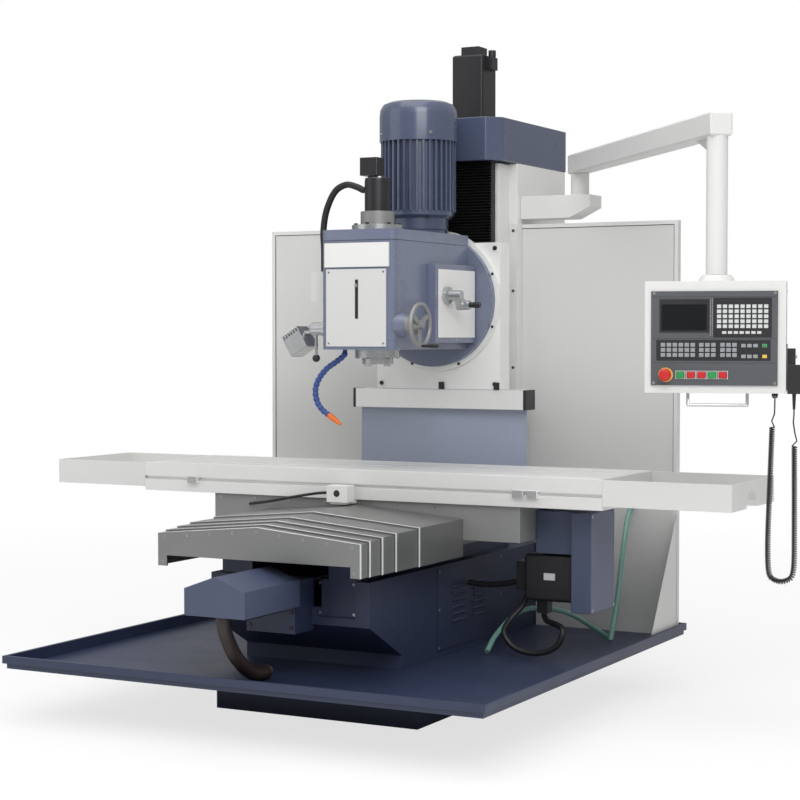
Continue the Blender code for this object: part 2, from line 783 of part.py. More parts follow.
def make_z_slide():
    slide = box(
        "z_slide", (-SLIDE_HALF, SLIDE_FRONT, SLIDE_BOTTOM), (SLIDE_HALF, SLIDE_REAR, SLIDE_TOP),
        "white",
    )
    ring = cylinder(
        "swivel_ring", (0, 0, SWIVEL_Z), "Y", SWIVEL_RING, RING_FRONT, SLIDE_FRONT + 0.01, sides=48,
    )
    trunnion = cylinder(
        "trunnion_bore", (0, 0, SWIVEL_Z), "Y", 0.06 + BORE_GAP, RING_FRONT - 0.01, SLIDE_FRONT + 0.05,
        sides=24,
    )
    nut = box(
        "z_nut", (-0.05, SLIDE_REAR - 0.02, SWIVEL_Z - 0.06),
        (0.05, Z_SCREW_Y + 0.038, SWIVEL_Z + 0.06),
    )
    bore = cylinder(
        "z_nut_bore", (0, Z_SCREW_Y, 0), "Z", SCREW_RADIUS + BORE_GAP, SWIVEL_Z - 0.1, SWIVEL_Z + 0.1,
        sides=12,
    )
    join(slide, ring, nut)
    cut(slide, trunnion, bore)


def make_apron():
    """Steel bar under the slide and the blue sheet that hangs from it over the rails."""
    top = SLIDE_BOTTOM - GAP
    low = top - APRON_BAR_HEIGHT
    bar_rear = RAIL_FRONT - 0.003
    bar = box(
        "slide_apron", (-APRON_BAR_HALF, SLIDE_FRONT, low), (APRON_BAR_HALF, bar_rear, top),
        "cast_grey",
    )
    sheet_front = SLIDE_FRONT + 0.045
    sheet = box(
        "apron_sheet", (-APRON_HALF, sheet_front, APRON_BOTTOM),
        (APRON_HALF, sheet_front + SHEET, low + 0.01),
    )
    join(bar, sheet)


def make_bellows():
    """Pleated guard over the rails, from the slide up to the cap."""
    folds = 14
    low, high = SLIDE_TOP + GAP, CAP_BOTTOM - GAP
    deep, shallow, back = 0.562, 0.580, RAIL_FRONT - 0.004
    outline = [(back, low)]
    step = (high - low) / (2 * folds)
    for i in range(2 * folds + 1):
        outline.append((shallow if i % 2 == 0 else deep, low + i * step))
    outline.append((back, high))
    prism("column_bellows", outline, "X", -RAIL_OUTER + 0.015, RAIL_OUTER - 0.015, "black")


# Rear splash panels
def make_splash_panels():
    front, rear = 0.77, 0.80
    high, low = 1.878, TRAY_TOP + GAP
    for side, name in ((-1, "splash_panel_left"), (1, "splash_panel_right")):
        near, far = COLUMN_HALF + GAP, PAN_HALF - 0.004
        foot = BED_HALF + 0.004
        outline = [
            (side * near, BED_TOP + 0.01), (side * near, high), (side * far, high),
            (side * far, low), (side * foot, low), (side * foot, BED_TOP + 0.01),
        ]
        panel = prism(name, outline, "Y", front, rear, "pale_grey")
        pocket = [
            (side * (near + 0.02), BED_TOP + 0.03), (side * (near + 0.02), high - 0.02),
            (side * (far - 0.02), high - 0.02), (side * (far - 0.02), low + 0.02),
            (side * (foot + 0.02), low + 0.02), (side * (foot + 0.02), BED_TOP + 0.03),
        ]
        cut(panel, prism("panel_pocket", pocket, "Y", front + SHEET, rear + 0.01))
        gusset = [
            (front + 0.005, 0.70), (front + 0.005, low), (front - 0.28, low),
            (front - 0.28, low + 0.05),
        ]
        xs = sorted((side * far, side * (far - SHEET)))
        join(panel, prism("panel_gusset", gusset, "X", xs[0], xs[1]))


# Swivelling head
def make_head():
    corner = HEAD_CORNER
    steps = 4
    right_front = [
        (HEAD_HALF - corner + corner * math.sin(a), HEAD_FRONT + corner - corner * math.cos(a))
        for a in (i * math.pi / 2 / steps for i in range(steps + 1))
    ]
    outline = right_front + [(HEAD_HALF, DISC_FRONT + 0.005), (-HEAD_HALF, DISC_FRONT + 0.005)]
    outline += [(-x, y) for x, y in reversed(right_front)]
    head = prism("head_housing", outline, "Z", HEAD_BOTTOM, HEAD_TOP, "blue")
    disc = cylinder("swivel_disc", (0, 0, SWIVEL_Z), "Y", SWIVEL_DISC, DISC_FRONT, DISC_REAR, sides=48)
    trunnion = cylinder(
        "trunnion", (0, 0, SWIVEL_Z), "Y", 0.06, DISC_REAR - 0.01, SLIDE_FRONT + 0.03, sides=24,
    )
    flange = cylinder(
        "quill_flange", (0, 0, 0), "Z", NOSE_FLANGE, HEAD_BOTTOM - 0.032, HEAD_BOTTOM + 0.01, sides=32,
    )
    name_low = (-HEAD_HALF + 0.022, HEAD_FRONT - 0.006, 1.676)
    name_high = (HEAD_HALF - 0.022, HEAD_FRONT + 0.01, 1.768)
    name_plate = box("name_plate", name_low, name_high)
    y, z = WHEEL_AXIS
    boss = [
        (0, WHEEL_BOSS), (0.036, WHEEL_BOSS), (0.046, HEAD_HALF + 0.012), (0.046, HEAD_HALF - 0.01),
        (0, HEAD_HALF - 0.01),
    ]
    wheel_boss = turned("handwheel_boss", boss, (0, y, z), "X", steps=24)
    lamp_x, lamp_z = LAMP_PIVOT
    lamp_arm = cylinder("lamp_arm", (0, LAMP_Y, lamp_z), "X", 0.009, lamp_x, -HEAD_HALF + 0.01, sides=12)
    terminal_box = box(
        "terminal_box", (-HEAD_HALF - 0.108, -0.05, TERMINAL_TOP - 0.119),
        (-HEAD_HALF + 0.01, 0.07, TERMINAL_TOP),
    )
    join(head, disc, trunnion, flange, name_plate, wheel_boss, lamp_arm, terminal_box)
    quill_bore = cylinder(
        "quill_bore", (0, 0, 0), "Z", QUILL_RADIUS + BORE_GAP, HEAD_BOTTOM - 0.05, QUILL_TOP + 0.004,
        sides=24,
    )
    pointer_slot = box("pointer_slot", (-0.006, HEAD_FRONT - 0.01, SLOT_LOW), (0.006, 0, SLOT_HIGH))
    top_bore = cylinder(
        "drawbar_bore", (0, 0, 0), "Z", SPINDLE_RADIUS + BORE_GAP, QUILL_TOP, HEAD_TOP + 0.01, sides=24,
    )
    cut(head, quill_bore, pointer_slot, top_bore)


def make_face_plate():
    """Pale front plate with the quill's depth slot."""
    rear = HEAD_FRONT - GAP
    half = HEAD_HALF - 0.028
    plate = box(
        "face_plate", (-half, rear - SHEET, HEAD_BOTTOM + 0.012), (half - 0.006, rear, 1.668), "white",
    )
    cut(plate, box("plate_slot", (-0.007, rear - 0.02, SLOT_LOW), (0.007, rear + 0.02, SLOT_HIGH)))


def make_quill():
    low = HEAD_BOTTOM - 0.032
    quill = cylinder("quill", (0, 0, 0), "Z", QUILL_RADIUS, low, QUILL_TOP, "steel", sides=24)
    join(
        quill,
        box("depth_pointer", (-0.004, HEAD_FRONT - 0.012, 1.60), (0.004, -QUILL_RADIUS + 0.012, 1.612)),
    )
    bore = cylinder(
        "spindle_bore", (0, 0, 0), "Z", SPINDLE_RADIUS + BORE_GAP, low - 0.01, QUILL_TOP + 0.01,
        sides=24,
    )
    cut(quill, bore)


def make_spindle():
    nose_low = HEAD_BOTTOM - 0.057
    nose_high = HEAD_BOTTOM - 0.032 - GAP
    spindle = cylinder(
        "spindle", (0, 0, 0), "Z", SPINDLE_RADIUS, nose_low + 0.01, HEAD_TOP + 0.005, "steel", sides=24,
    )
    nose = cylinder("spindle_nose", (0, 0, 0), "Z", QUILL_RADIUS - 0.001, nose_low, nose_high, sides=24)
    taper = cylinder(
        "tool_taper", (0, 0, 0), "Z", 0.0222, nose_low - 0.001, nose_low + 0.10, sides=16,
        top_radius=0.012,
    )
    join(spindle, nose)
    cut(spindle, taper)
    for side in (-1, 1):
        x = side * 0.043
        join(
            spindle,
            box("drive_key", (x - 0.012, -0.008, nose_low - 0.008), (x + 0.012, 0.008, nose_low + 0.01)),
        )


def make_drawbar_unit():
    """Steel flange and closed cylinder over the spindle's top."""
    base = HEAD_TOP + GAP
    profile = [
        (0, base + 0.205), (0.048, base + 0.205), (0.050, base + 0.195), (0.050, base + 0.075),
        (0.066, base + 0.075),
        (0.066, base + 0.022), (0.100, base + 0.022), (0.100, base), (0, base),
    ]
    unit = turned("drawbar_unit", profile, (0, 0, 0), "Z", "dark_steel", steps=28)
    cut(
        unit,
        cylinder(
            "spindle_top_room", (0, 0, 0), "Z", SPINDLE_RADIUS + 0.003, base - 0.01, base + 0.02,
            sides=20,
        ),
    )
    valve = box("drawbar_valve", (-0.062, -0.03, base + 0.215), (0.012, 0.03, base + 0.285))
    stem = cylinder("valve_stem", (-0.02, 0, 0), "Z", 0.02, base + 0.2, base + 0.22, sides=12)
    join(unit, stem, valve)

# Spindle motor
def fin_outline(count, root, tip, share):
    """Star outline with narrow radial fins."""
    outline = []
    pitch = 2 * math.pi / count
    for i in range(count):
        low, high = 0.5 - share / 2, 0.5 + share / 2
        for angle, radius in ((low, root), (low, tip), (high, tip), (high, root)):
            a = (i + angle) * pitch
            outline.append((radius * math.cos(a), MOTOR_Y + radius * math.sin(a)))
    return outline


def make_motor():
    base = HEAD_TOP + GAP
    fins_low, fins_high = base + 0.094, base + 0.385
    profile = [
        (0, fins_low), (0.145, fins_low), (0.145, fins_low - 0.018), (0.122, fins_low - 0.030),
        (0.122, base + 0.020), (0.118, base + 0.016), (0.118, base), (0, base),
    ]
    fins = fin_outline(MOTOR_FINS, MOTOR_FIN_ROOT, MOTOR_RADIUS, 0.36)
    body = prism("spindle_motor", fins, "Z", fins_low - 0.002, fins_high, "blue")
    join(body, turned("motor_base", profile, (0, MOTOR_Y, 0), "Z", steps=32))
    wall = MOTOR_RADIUS + GAP
    outer = wall + 0.005
    top = base + 0.533
    profile = [
        (0, top), (outer - 0.040, top), (outer - 0.015, top - 0.010), (outer - 0.003, top - 0.030),
        (outer, top - 0.055),
        (outer, fins_high - 0.012), (wall, fins_high - 0.012), (wall, top - 0.055),
        (wall - 0.018, top - 0.014),
        (wall - 0.040, top - 0.004), (0, top - 0.004),
    ]
    cover = turned("motor_fan_cover", profile, (0, MOTOR_Y, 0), "Z", "blue", steps=40)
    for ring, count in ((0.045, 8), (0.085, 14)):
        for i in range(count):
            a = 2 * math.pi * i / count
            x, y = ring * math.cos(a), MOTOR_Y + ring * math.sin(a)
            cut(cover, cylinder("air_hole", (x, y, 0), "Z", 0.011, top - 0.02, top + 0.01, sides=6))
    fan = cylinder(
        "motor_fan", (0, MOTOR_Y, 0), "Z", 0.034, fins_high + 0.001, fins_high + 0.060, "black",
        sides=12,
    )
    for i in range(4):
        blade = box(
            "fan_blade", (-0.125, MOTOR_Y - 0.002, fins_high + 0.012),
            (0.125, MOTOR_Y + 0.002, fins_high + 0.055),
        )
        turn_about([blade], (0, MOTOR_Y, 0), "Z", i * 45)
        join(fan, blade)


# Controls and fittings on the head
def make_gear_cover():
    outer = HEAD_HALF + GAP + GEAR_COVER_DEPTH
    cover = box(
        "gear_cover", (HEAD_HALF + GAP, GEAR_COVER_FRONT, GEAR_COVER_LOW),
        (outer, DISC_FRONT - 0.004, GEAR_COVER_HIGH), "blue",
    )
    edge = GEAR_PLATE_MARGIN
    plate = box(
        "gear_cover_plate", (outer - 0.01, GEAR_COVER_FRONT + edge, GEAR_COVER_LOW + edge),
        (outer + 0.002, DISC_FRONT - 0.010, GEAR_COVER_HIGH - edge),
    )
    join(cover, plate)


def make_speed_lever():
    start = HEAD_HALF + GAP + GEAR_COVER_DEPTH + 0.002 + GAP
    pivot_y, pivot_z = LEVER_PIVOT
    end_y, end_z = pivot_y + 0.046, pivot_z - 0.038
    profile = [
        (0, start + 0.070), (0.019, start + 0.070), (0.021, start + 0.022), (0.034, start + 0.018),
        (0.034, start), (0, start),
    ]
    lever = turned("speed_lever", profile, (0, pivot_y, pivot_z), "X", "steel", steps=20)
    arm = [
        (pivot_y - 0.008, pivot_z - 0.014), (pivot_y + 0.010, pivot_z + 0.012),
        (end_y + 0.008, end_z + 0.014), (end_y - 0.010, end_z - 0.012),
    ]
    tip = start + 0.085
    boss = [
        (0, tip + 0.045), (0.009, tip + 0.045), (0.013, tip + 0.032), (0.010, tip), (0.018, tip),
        (0.021, start + 0.030), (0, start + 0.030),
    ]
    grip = turned("lever_grip", boss, (0, end_y, end_z), "X", steps=16)
    join(lever, prism("lever_arm", arm, "X", start + 0.034, start + 0.062), grip)


def make_handwheel():
    y, z = WHEEL_AXIS
    start = WHEEL_BOSS + GAP
    face = start + 0.052
    hub = [
        (0, face + 0.010), (0.014, face + 0.010), (0.016, face - 0.006), (0.026, start + 0.032),
        (0.038, start + 0.030), (0.038, start), (0, start),
    ]
    wheel = turned("handwheel", hub, (0, y, z), "X", "steel", steps=20)
    tube_radius = 0.0085
    section = [
        (WHEEL_RADIUS - tube_radius + tube_radius * math.cos(a), face - 0.004 + tube_radius * math.sin(a))
        for a in (-2 * math.pi * i / 8 for i in range(9))
    ]
    join(wheel, turned("wheel_rim", section, (0, y, z), "X", steps=28))
    for i in range(3):
        spoke = box(
            "wheel_spoke", (face - 0.010, y - 0.009, z),
            (face - 0.002, y + 0.009, z + WHEEL_RADIUS - tube_radius),
        )
        turn_about([spoke], (0, y, z), "X", 60 + 120 * i)
        join(wheel, spoke)
    handle_z = z - WHEEL_RADIUS + tube_radius
    handle = [(0, face + 0.072), (0.006, face + 0.072), (0.0075, face + 0.060), (0.005, face), (0, face)]
    join(wheel, turned("wheel_handle", handle, (0, y, handle_z), "X", steps=10))


def make_feed_lever():
    y, z = -0.105, 1.44
    outer = -HEAD_HALF - GAP - 0.075
    profile = [
        (0, -HEAD_HALF - GAP), (0.034, -HEAD_HALF - GAP), (0.034, -HEAD_HALF - 0.014),
        (0.026, -HEAD_HALF - 0.018), (0.026, outer + 0.008), (0.020, outer), (0, outer),
    ]
    lever = turned("feed_lever", profile, (0, y, z), "X", "steel", steps=20)
    x = outer + 0.022
    rod = cylinder("lever_rod", (x, y, 0), "Z", 0.0065, z - 0.105, z, sides=10)
    join(lever, rod)
    low = z - 0.100
    ball = [
        (0.0155 * math.sin(a), low - 0.0145 + 0.0155 * math.cos(a))
        for a in (math.radians(20 + 160 * i / 6) for i in range(7))
    ]
    knob = [(0, ball[0][1]), *ball[:-1], (0, ball[-1][1])]
    join(lever, turned("lever_knob", knob, (x, y, 0), "Z", steps=12))


def make_lamp():
    """Finned lamp on a short arm at the left of the head."""
    y = LAMP_Y
    pivot_x, pivot_z = LAMP_PIVOT
    centre_x, centre_z = pivot_x - 0.070, pivot_z - 0.035
    lamp = box(
        "work_lamp", (centre_x - 0.042, y - 0.045, centre_z - 0.045),
        (centre_x + 0.042, y + 0.045, centre_z + 0.028), "dark_steel",
    )
    for i in range(7):
        x = centre_x - 0.039 + i * 0.013
        join(
            lamp,
            box(
                "lamp_fin", (x - 0.0025, y - 0.043, centre_z + 0.02),
                (x + 0.0025, y + 0.043, centre_z + 0.046),
            ),
        )
    turn_about([lamp], (centre_x, y, centre_z), "Y", -32)
    join(lamp, cylinder("lamp_stem", (0, y, pivot_z), "X", 0.008, centre_x, pivot_x - GAP, sides=10))


def make_head_conduit():
    """Cable conduit from the terminal box over to the drawbar unit."""
    x = -HEAD_HALF - 0.078
    end_x = -0.051
    end_z = HEAD_TOP + 0.162
    route = [
        (x, 0, TERMINAL_TOP + 0.001), (x, 0, HEAD_TOP - 0.07), (x - 0.003, 0, HEAD_TOP + 0.01),
        (x + 0.012, 0, HEAD_TOP + 0.09), (x + 0.05, 0, HEAD_TOP + 0.16), (x + 0.10, 0, HEAD_TOP + 0.185),
        (x + 0.145, 0, HEAD_TOP + 0.176), (end_x - 0.014, 0, end_z),
    ]
    tube("head_conduit", [*smooth_route(route, 34), (end_x, 0, end_z)], 0.013, "rubber", resolution=2)


def make_coolant_hose():
    """Segmented coolant hose under the head, with its nozzle."""
    y = -0.06
    route = [
        (-0.112, y, HEAD_BOTTOM - 0.010), (-0.118, y, 1.335), (-0.150, y, 1.312), (-0.195, y, 1.283),
        (-0.232, y, 1.240),
        (-0.246, y, 1.195), (-0.236, y, 1.150), (-0.212, y, 1.120), (-0.182, y, 1.100),
    ]
    segments = 17
    points = [Vector((-0.112, y, HEAD_BOTTOM - GAP)), *smooth_route(route, 2 * segments - 1)]
    radii = [1.0 if i % 2 else 0.72 for i in range(2 * segments)]
    along = (points[-1] - points[-2]).normalized()
    for reach, radius in ((0.004, 1.0), (0.030, 0.85), (0.062, 0.42)):
        points.append(points[2 * segments - 1] + along * reach)
        radii.append(radius)
    tube("coolant_hose", points, 0.0125, "hose_blue", resolution=2, radii=radii)


# Pendant
def make_arm_bracket():
    top = ARM_BOTTOM - POST_HEIGHT - 2 * GAP
    outline = [
        (COLUMN_HALF + GAP, top), (POST_X + 0.07, top), (POST_X + 0.07, top - 0.05),
        (POST_X - 0.02, top - 0.095), (COLUMN_HALF + GAP, top - 0.095),
    ]
    bracket = prism("arm_bracket", outline, "Y", POST_Y - 0.065, POST_Y + 0.065, "pale_grey")
    join(
        bracket,
        cylinder("arm_post", (POST_X, POST_Y, 0), "Z", POST_RADIUS, top - 0.02, ARM_BOTTOM - GAP, sides=20),
    )


def make_arm():
    half = ARM_SIZE / 2
    beam = box(
        "pendant_arm", (POST_X - 0.05, POST_Y - half, ARM_BOTTOM),
        (POST_X + ARM_LENGTH + half, POST_Y + half, ARM_BOTTOM + ARM_SIZE), "pale_grey", bevel=0.006,
        segments=1,
    )
    turn_about([beam], (POST_X, POST_Y, 0), "Z", math.degrees(ARM_ANGLE))
    low = PENDANT_TOP + FLANGE_HEIGHT + 2 * GAP
    join(
        beam,
        cylinder(
            "pendant_tube", (PENDANT_X, PENDANT_Y, 0), "Z", TUBE_RADIUS, low, ARM_BOTTOM + 0.02,
            sides=20,
        ),
    )


def make_pendant():
    x, y, low = PENDANT_X, PENDANT_Y, PENDANT_BOTTOM
    half, deep = PENDANT_WIDTH / 2, PENDANT_DEPTH / 2
    case = box("pendant_box", (x - half, y - deep, low), (x + half, y + deep, PENDANT_TOP), "pale_grey")
    neck = TUBE_RADIUS + 0.012
    top = PENDANT_TOP + FLANGE_HEIGHT
    profile = [
        (0, top), (neck, top), (neck + 0.010, PENDANT_TOP + 0.010), (neck + 0.018, PENDANT_TOP - 0.01),
        (0, PENDANT_TOP - 0.01),
    ]
    join(case, turned("pendant_flange", profile, (x, y, 0), "Z", steps=24))
    front = y - deep - 0.006
    panel_low = low + 0.025
    left = x - half + 0.021
    panel_high = panel_low + BEZEL_HEIGHT
    join(
        case,
        box("pendant_panel", (left, front, panel_low), (left + BEZEL_WIDTH, y - deep + 0.01, panel_high)),
    )
    made = [case]
    row = panel_low + 0.036
    rear = front - GAP - BUTTON_TRAVEL
    for i, colour in enumerate(("green", "red", "red", "green", "red")):
        cx = left + 0.099 + i * 0.0353
        cap = ((cx - 0.0135, rear - 0.006, row - 0.011), (cx + 0.0135, rear, row + 0.011))
        made.append(box(f"push_button_{i}", *cap, colour, bevel=0.002, segments=1))
    stem = front - GAP - 0.006
    stop = [
        (0, stem), (0.013, stem), (0.013, stem - 0.012), (0.0215, stem - 0.016), (0.0215, stem - 0.024),
        (0.015, stem - 0.031), (0, stem - 0.033),
    ]
    made.append(turned("emergency_stop", stop, (left + 0.050, 0, row), "Y", "red", steps=20))
    rail_y, rail_z = y - 0.02, low - 0.042
    ends = (left + 0.120, left + 0.318)
    for end in ends:
        join(case, cylinder("handle_leg", (end, rail_y, 0), "Z", 0.0055, rail_z, low + 0.01, sides=8))
    join(
        case,
        cylinder(
            "handle_rail", (0, rail_y, rail_z), "X", 0.0055, ends[0] - 0.003, ends[1] + 0.003, sides=8,
        ),
    )
    side = x + half
    join(
        case,
        box("mpg_holster", (side - 0.01, y - 0.055, low + 0.010), (side + 0.004, y + 0.005, low + 0.165)),
    )
    gland_x = x + 0.197
    cord_y = y - 0.025
    gland = [
        (0, low + 0.01), (0.0105, low + 0.01), (0.0105, low - 0.012), (0.006, low - 0.018),
        (0, low - 0.018),
    ]
    join(case, turned("cord_gland", gland, (gland_x, cord_y, 0), "Z", steps=12))
    unit_left = side + 0.004 + GAP
    unit_right = unit_left + MPG_WIDTH
    unit = box(
        "mpg_unit", (unit_left, y - 0.058, low - 0.002), (unit_right, y + 0.008, low + 0.095), "black",
    )
    join(
        unit,
        box("mpg_hook", (unit_left, y - 0.045, low + 0.09), (unit_left + 0.026, y - 0.005, low + 0.150)),
    )
    unit_x = unit_left + MPG_WIDTH / 2 - 0.004
    relief = [(0, low + 0.01), (0.0075, low + 0.01), (0.0045, low - 0.055), (0, low - 0.055)]
    join(unit, turned("cord_strain_relief", relief, (unit_x, cord_y, 0), "Z", steps=10))
    made.append(unit)
    dial_x = unit_right + GAP
    dial = [
        (0, dial_x + 0.016), (0.021, dial_x + 0.016), (0.024, dial_x + 0.012), (0.024, dial_x),
        (0, dial_x),
    ]
    made.append(turned("mpg_dial", dial, (0, cord_y, low + 0.040), "X", "steel", steps=20))
    made.append(make_pendant_cord(x, cord_y, gland_x, unit_x))
    turn_about(made, (x, y, 0), "Z", PENDANT_TURN)


def make_pendant_cord(x, y, gland_x, unit_x):
    """Curly cord of the hand unit, hanging in a loop from the pendant's gland."""
    low = PENDANT_BOTTOM
    left, right, turn_z = x + 0.1775, x + 0.2640, 0.632
    middle, radius = (left + right) / 2, (right - left) / 2
    lead_in = [
        (gland_x, y, low - 0.018 - GAP), (gland_x, y, low - 0.035), (gland_x - 0.001, y, low - 0.070),
        (gland_x - 0.010, y, low - 0.094),
    ]
    coil_top_left, coil_top_right = 1.108, 1.045
    axis = [
        (left + 0.011, y, coil_top_left), (left + 0.006, y, 0.95), (left, y, 0.76),
        (left, y, turn_z + 0.03),
    ]
    axis += [
        (middle - radius * math.cos(a), y, turn_z - radius * math.sin(a))
        for a in (math.pi * (i + 1) / 6 for i in range(5))
    ]
    axis += [
        (right, y, turn_z + 0.03), (right, y, 0.78), (right - 0.001, y, 0.93),
        (right - 0.002, y, coil_top_right),
    ]
    lead_out = [
        (unit_x + 0.010, y, 1.062), (unit_x + 0.003, y, 1.09), (unit_x - 0.002, y, 1.125),
        (unit_x, y, 1.150),
        (unit_x, y, low - 0.055 - GAP),
    ]
    steps = CURL_COUNT * CURL_POINTS
    spine = smooth_route(axis, steps + 1)
    out = Vector((0, 1, 0))
    coil = []
    for i, place in enumerate(spine):
        along = (spine[min(i + 1, steps)] - spine[max(i - 1, 0)]).normalized()
        across = along.cross(out)
        a = 2 * math.pi * i / CURL_POINTS
        coil.append(place + CURL_RADIUS * (math.cos(a) * across + math.sin(a) * out))
    points = [Vector(p) for p in lead_in] + coil + [Vector(p) for p in lead_out]
    report_gap("pendant_cord", points, CORD_RADIUS, CURL_POINTS // 2 + 1)
    return tube("pendant_cord", points, CORD_RADIUS, "rubber", resolution=1)


def report_gap(name, points, radius, skip):
    """Prints the least gap between stretches of one tube that are not neighbours."""
    least = min(
        (points[i] - points[j]).length
        for i in range(len(points))
        for j in range(i + skip, min(i + 6 * skip, len(points)))
    )
    print(f"{name}: least gap to itself {1000 * (least - 2 * radius):.2f} mm")


# Hoses and cables on the bed and saddle
def make_hoses():
    route = [
        (0, -1.100, 0.462), (0, -1.097, 0.430), (0, -1.080, 0.390), (0, -1.030, 0.320), (0, -0.960, 0.262),
        (0, -0.890, 0.2305), (0, -0.820, 0.2275),
    ]
    ribs = 26
    radii = [1.0 if i % 2 else 0.86 for i in range(2 * ribs)]
    tube("front_conduit", smooth_route(route, 2 * ribs), 0.026, "rubber", resolution=2, radii=radii)
    floor = TRAY_TOP + 0.012
    first = [
        (0.772, 0.769, 0.720), (0.772, 0.740, 0.715), (0.773, 0.690, 0.660), (0.778, 0.630, 0.540),
        (0.784, 0.570, 0.400),
        (0.788, 0.510, 0.280), (0.790, 0.470, floor),
    ]
    tube("coolant_return", smooth_route(first, 30), 0.0105, "hose_green", resolution=2)
    second = [
        (0.468, 0.010, floor), (0.472, 0.094, 0.268), (0.506, 0.215, 0.336), (0.5735, 0.300, 0.347),
        (0.647, 0.385, 0.321),
        (0.710, 0.470, 0.262), (0.745, 0.547, floor),
    ]
    tube("coolant_supply", smooth_route(second, 30), 0.0105, "hose_green", resolution=2)


def make_cables():
    motor_z, y = 0.505, TABLE_MID
    bed_end = BED_HALF + GAP + SHEET + LOUVRE_REACH + 0.002
    lead = [(bed_end + 0.012, y, 0.458), (0.42, y, 0.454), (0.50, y, 0.462), (0.560, y, 0.475)]
    points = [(bed_end, y, 0.458), *smooth_route(lead, 12), (0.5745, y, 0.475)]
    tube("x_conduit", points, 0.0115, "rubber", resolution=2)
    start = motor_z - 0.088 - 0.055 - GAP
    loop = [
        (0.667, y, start - 0.012), (0.690, y - 0.020, 0.334), (0.778, y - 0.085, 0.318),
        (0.757, y - 0.099, 0.252),
        (0.676, y - 0.099, 0.222), (0.590, y - 0.099, 0.236), (0.542, y - 0.095, 0.290),
        (0.565, y - 0.075, 0.345),
        (0.590, y - 0.035, 0.385), (0.600, y, 0.434),
    ]
    points = [(0.667, y, start), *smooth_route(loop, 44), (0.600, y, motor_z - 0.055 - GAP)]
    tube("x_motor_cable", points, 0.0115, "rubber", resolution=2)


make_bed()
make_side_panel()
make_tray()
make_y_drive()
make_y_screw()
make_way_cover()
make_saddle()
make_x_drive()
make_table()
make_wings()
make_limit_switch()
make_column()
make_cap()
make_z_drive()
make_z_slide()
make_apron()
make_bellows()
make_splash_panels()
make_head()
make_face_plate()
make_quill()
make_spindle()
make_drawbar_unit()
make_motor()
make_gear_cover()
make_speed_lever()
make_handwheel()
make_feed_lever()
make_lamp()
make_head_conduit()
make_coolant_hose()
make_arm_bracket()
make_arm()
make_pendant()
make_hoses()
make_cables()
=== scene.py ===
"""Looks of the CNC bed milling machine: finishes, cords, screen, keys, seams and fasteners.

Metres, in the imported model's frame. Each piece rides on the body that carries it.
"""

import json
import math

import bmesh
import bpy
from mathutils import Matrix, Vector


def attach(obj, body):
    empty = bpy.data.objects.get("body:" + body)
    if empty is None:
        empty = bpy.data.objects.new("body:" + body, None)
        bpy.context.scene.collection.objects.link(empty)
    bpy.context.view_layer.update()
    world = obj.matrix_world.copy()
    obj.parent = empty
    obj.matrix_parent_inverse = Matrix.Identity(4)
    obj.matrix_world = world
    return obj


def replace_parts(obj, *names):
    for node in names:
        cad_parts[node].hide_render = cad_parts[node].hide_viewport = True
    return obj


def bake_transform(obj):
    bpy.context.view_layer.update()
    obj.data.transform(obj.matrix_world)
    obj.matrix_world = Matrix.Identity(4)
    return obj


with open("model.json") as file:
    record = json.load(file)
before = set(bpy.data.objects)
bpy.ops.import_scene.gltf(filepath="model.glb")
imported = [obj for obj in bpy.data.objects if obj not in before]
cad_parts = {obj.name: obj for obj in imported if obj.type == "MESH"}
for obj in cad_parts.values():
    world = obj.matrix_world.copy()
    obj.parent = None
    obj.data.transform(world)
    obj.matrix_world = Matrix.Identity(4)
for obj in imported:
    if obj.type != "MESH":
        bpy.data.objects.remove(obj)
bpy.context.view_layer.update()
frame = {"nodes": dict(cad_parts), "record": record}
NODES = frame["nodes"]
BODY_OF = {name: body for body, names in frame["record"]["behaviour"]["bodies"].items() for name in names}

# Camera, from the photograph's vanishing points
CAMERA_PLACE = (3.504, -6.432, 1.419)
CAMERA_TURN = 27.895
CAMERA_DIP = 2.006
CAMERA_LENS = 84.45

# Places shared by several pieces
SHARP = math.radians(35)
HEAD_HALF = 0.162
HEAD_FRONT = -0.165
HEAD_CORNER = 0.030
SWIVEL_Z = 1.557
MOTOR_Y = 0.347
PENDANT_TUBE = (1.4775, -0.318)
PENDANT_TURN = 15.0
PENDANT_FRAME = Matrix.Translation((*PENDANT_TUBE, 0)) @ Matrix.Rotation(math.radians(PENDANT_TURN), 4, "Z")
PANEL_LEFT = -0.2125
PANEL_TOP = 1.564
PANEL_FRONT = -0.081
CORD_Y = -0.025
HEAD_TOP = 1.82
GEAR_RIM = 0.1985
BED_SIDE = 0.3365
SADDLE_FRONT = -0.135
SLIDE_FRONT = 0.52
PANEL_FACE = 0.77
TRAY_LIE = 0.2115         # height of a hose's middle on the tray floor
X_MOTOR_Y = 0.099
COVER_FRONTS = (-0.889, -0.8325, -0.7525, -0.6625, -0.4955)
COVER_HALF = 0.416
COVER_EAVE = 0.706
COVER_RISE = 0.038
COVER_STEP = 0.0055       # each telescopic element over the one in front of it

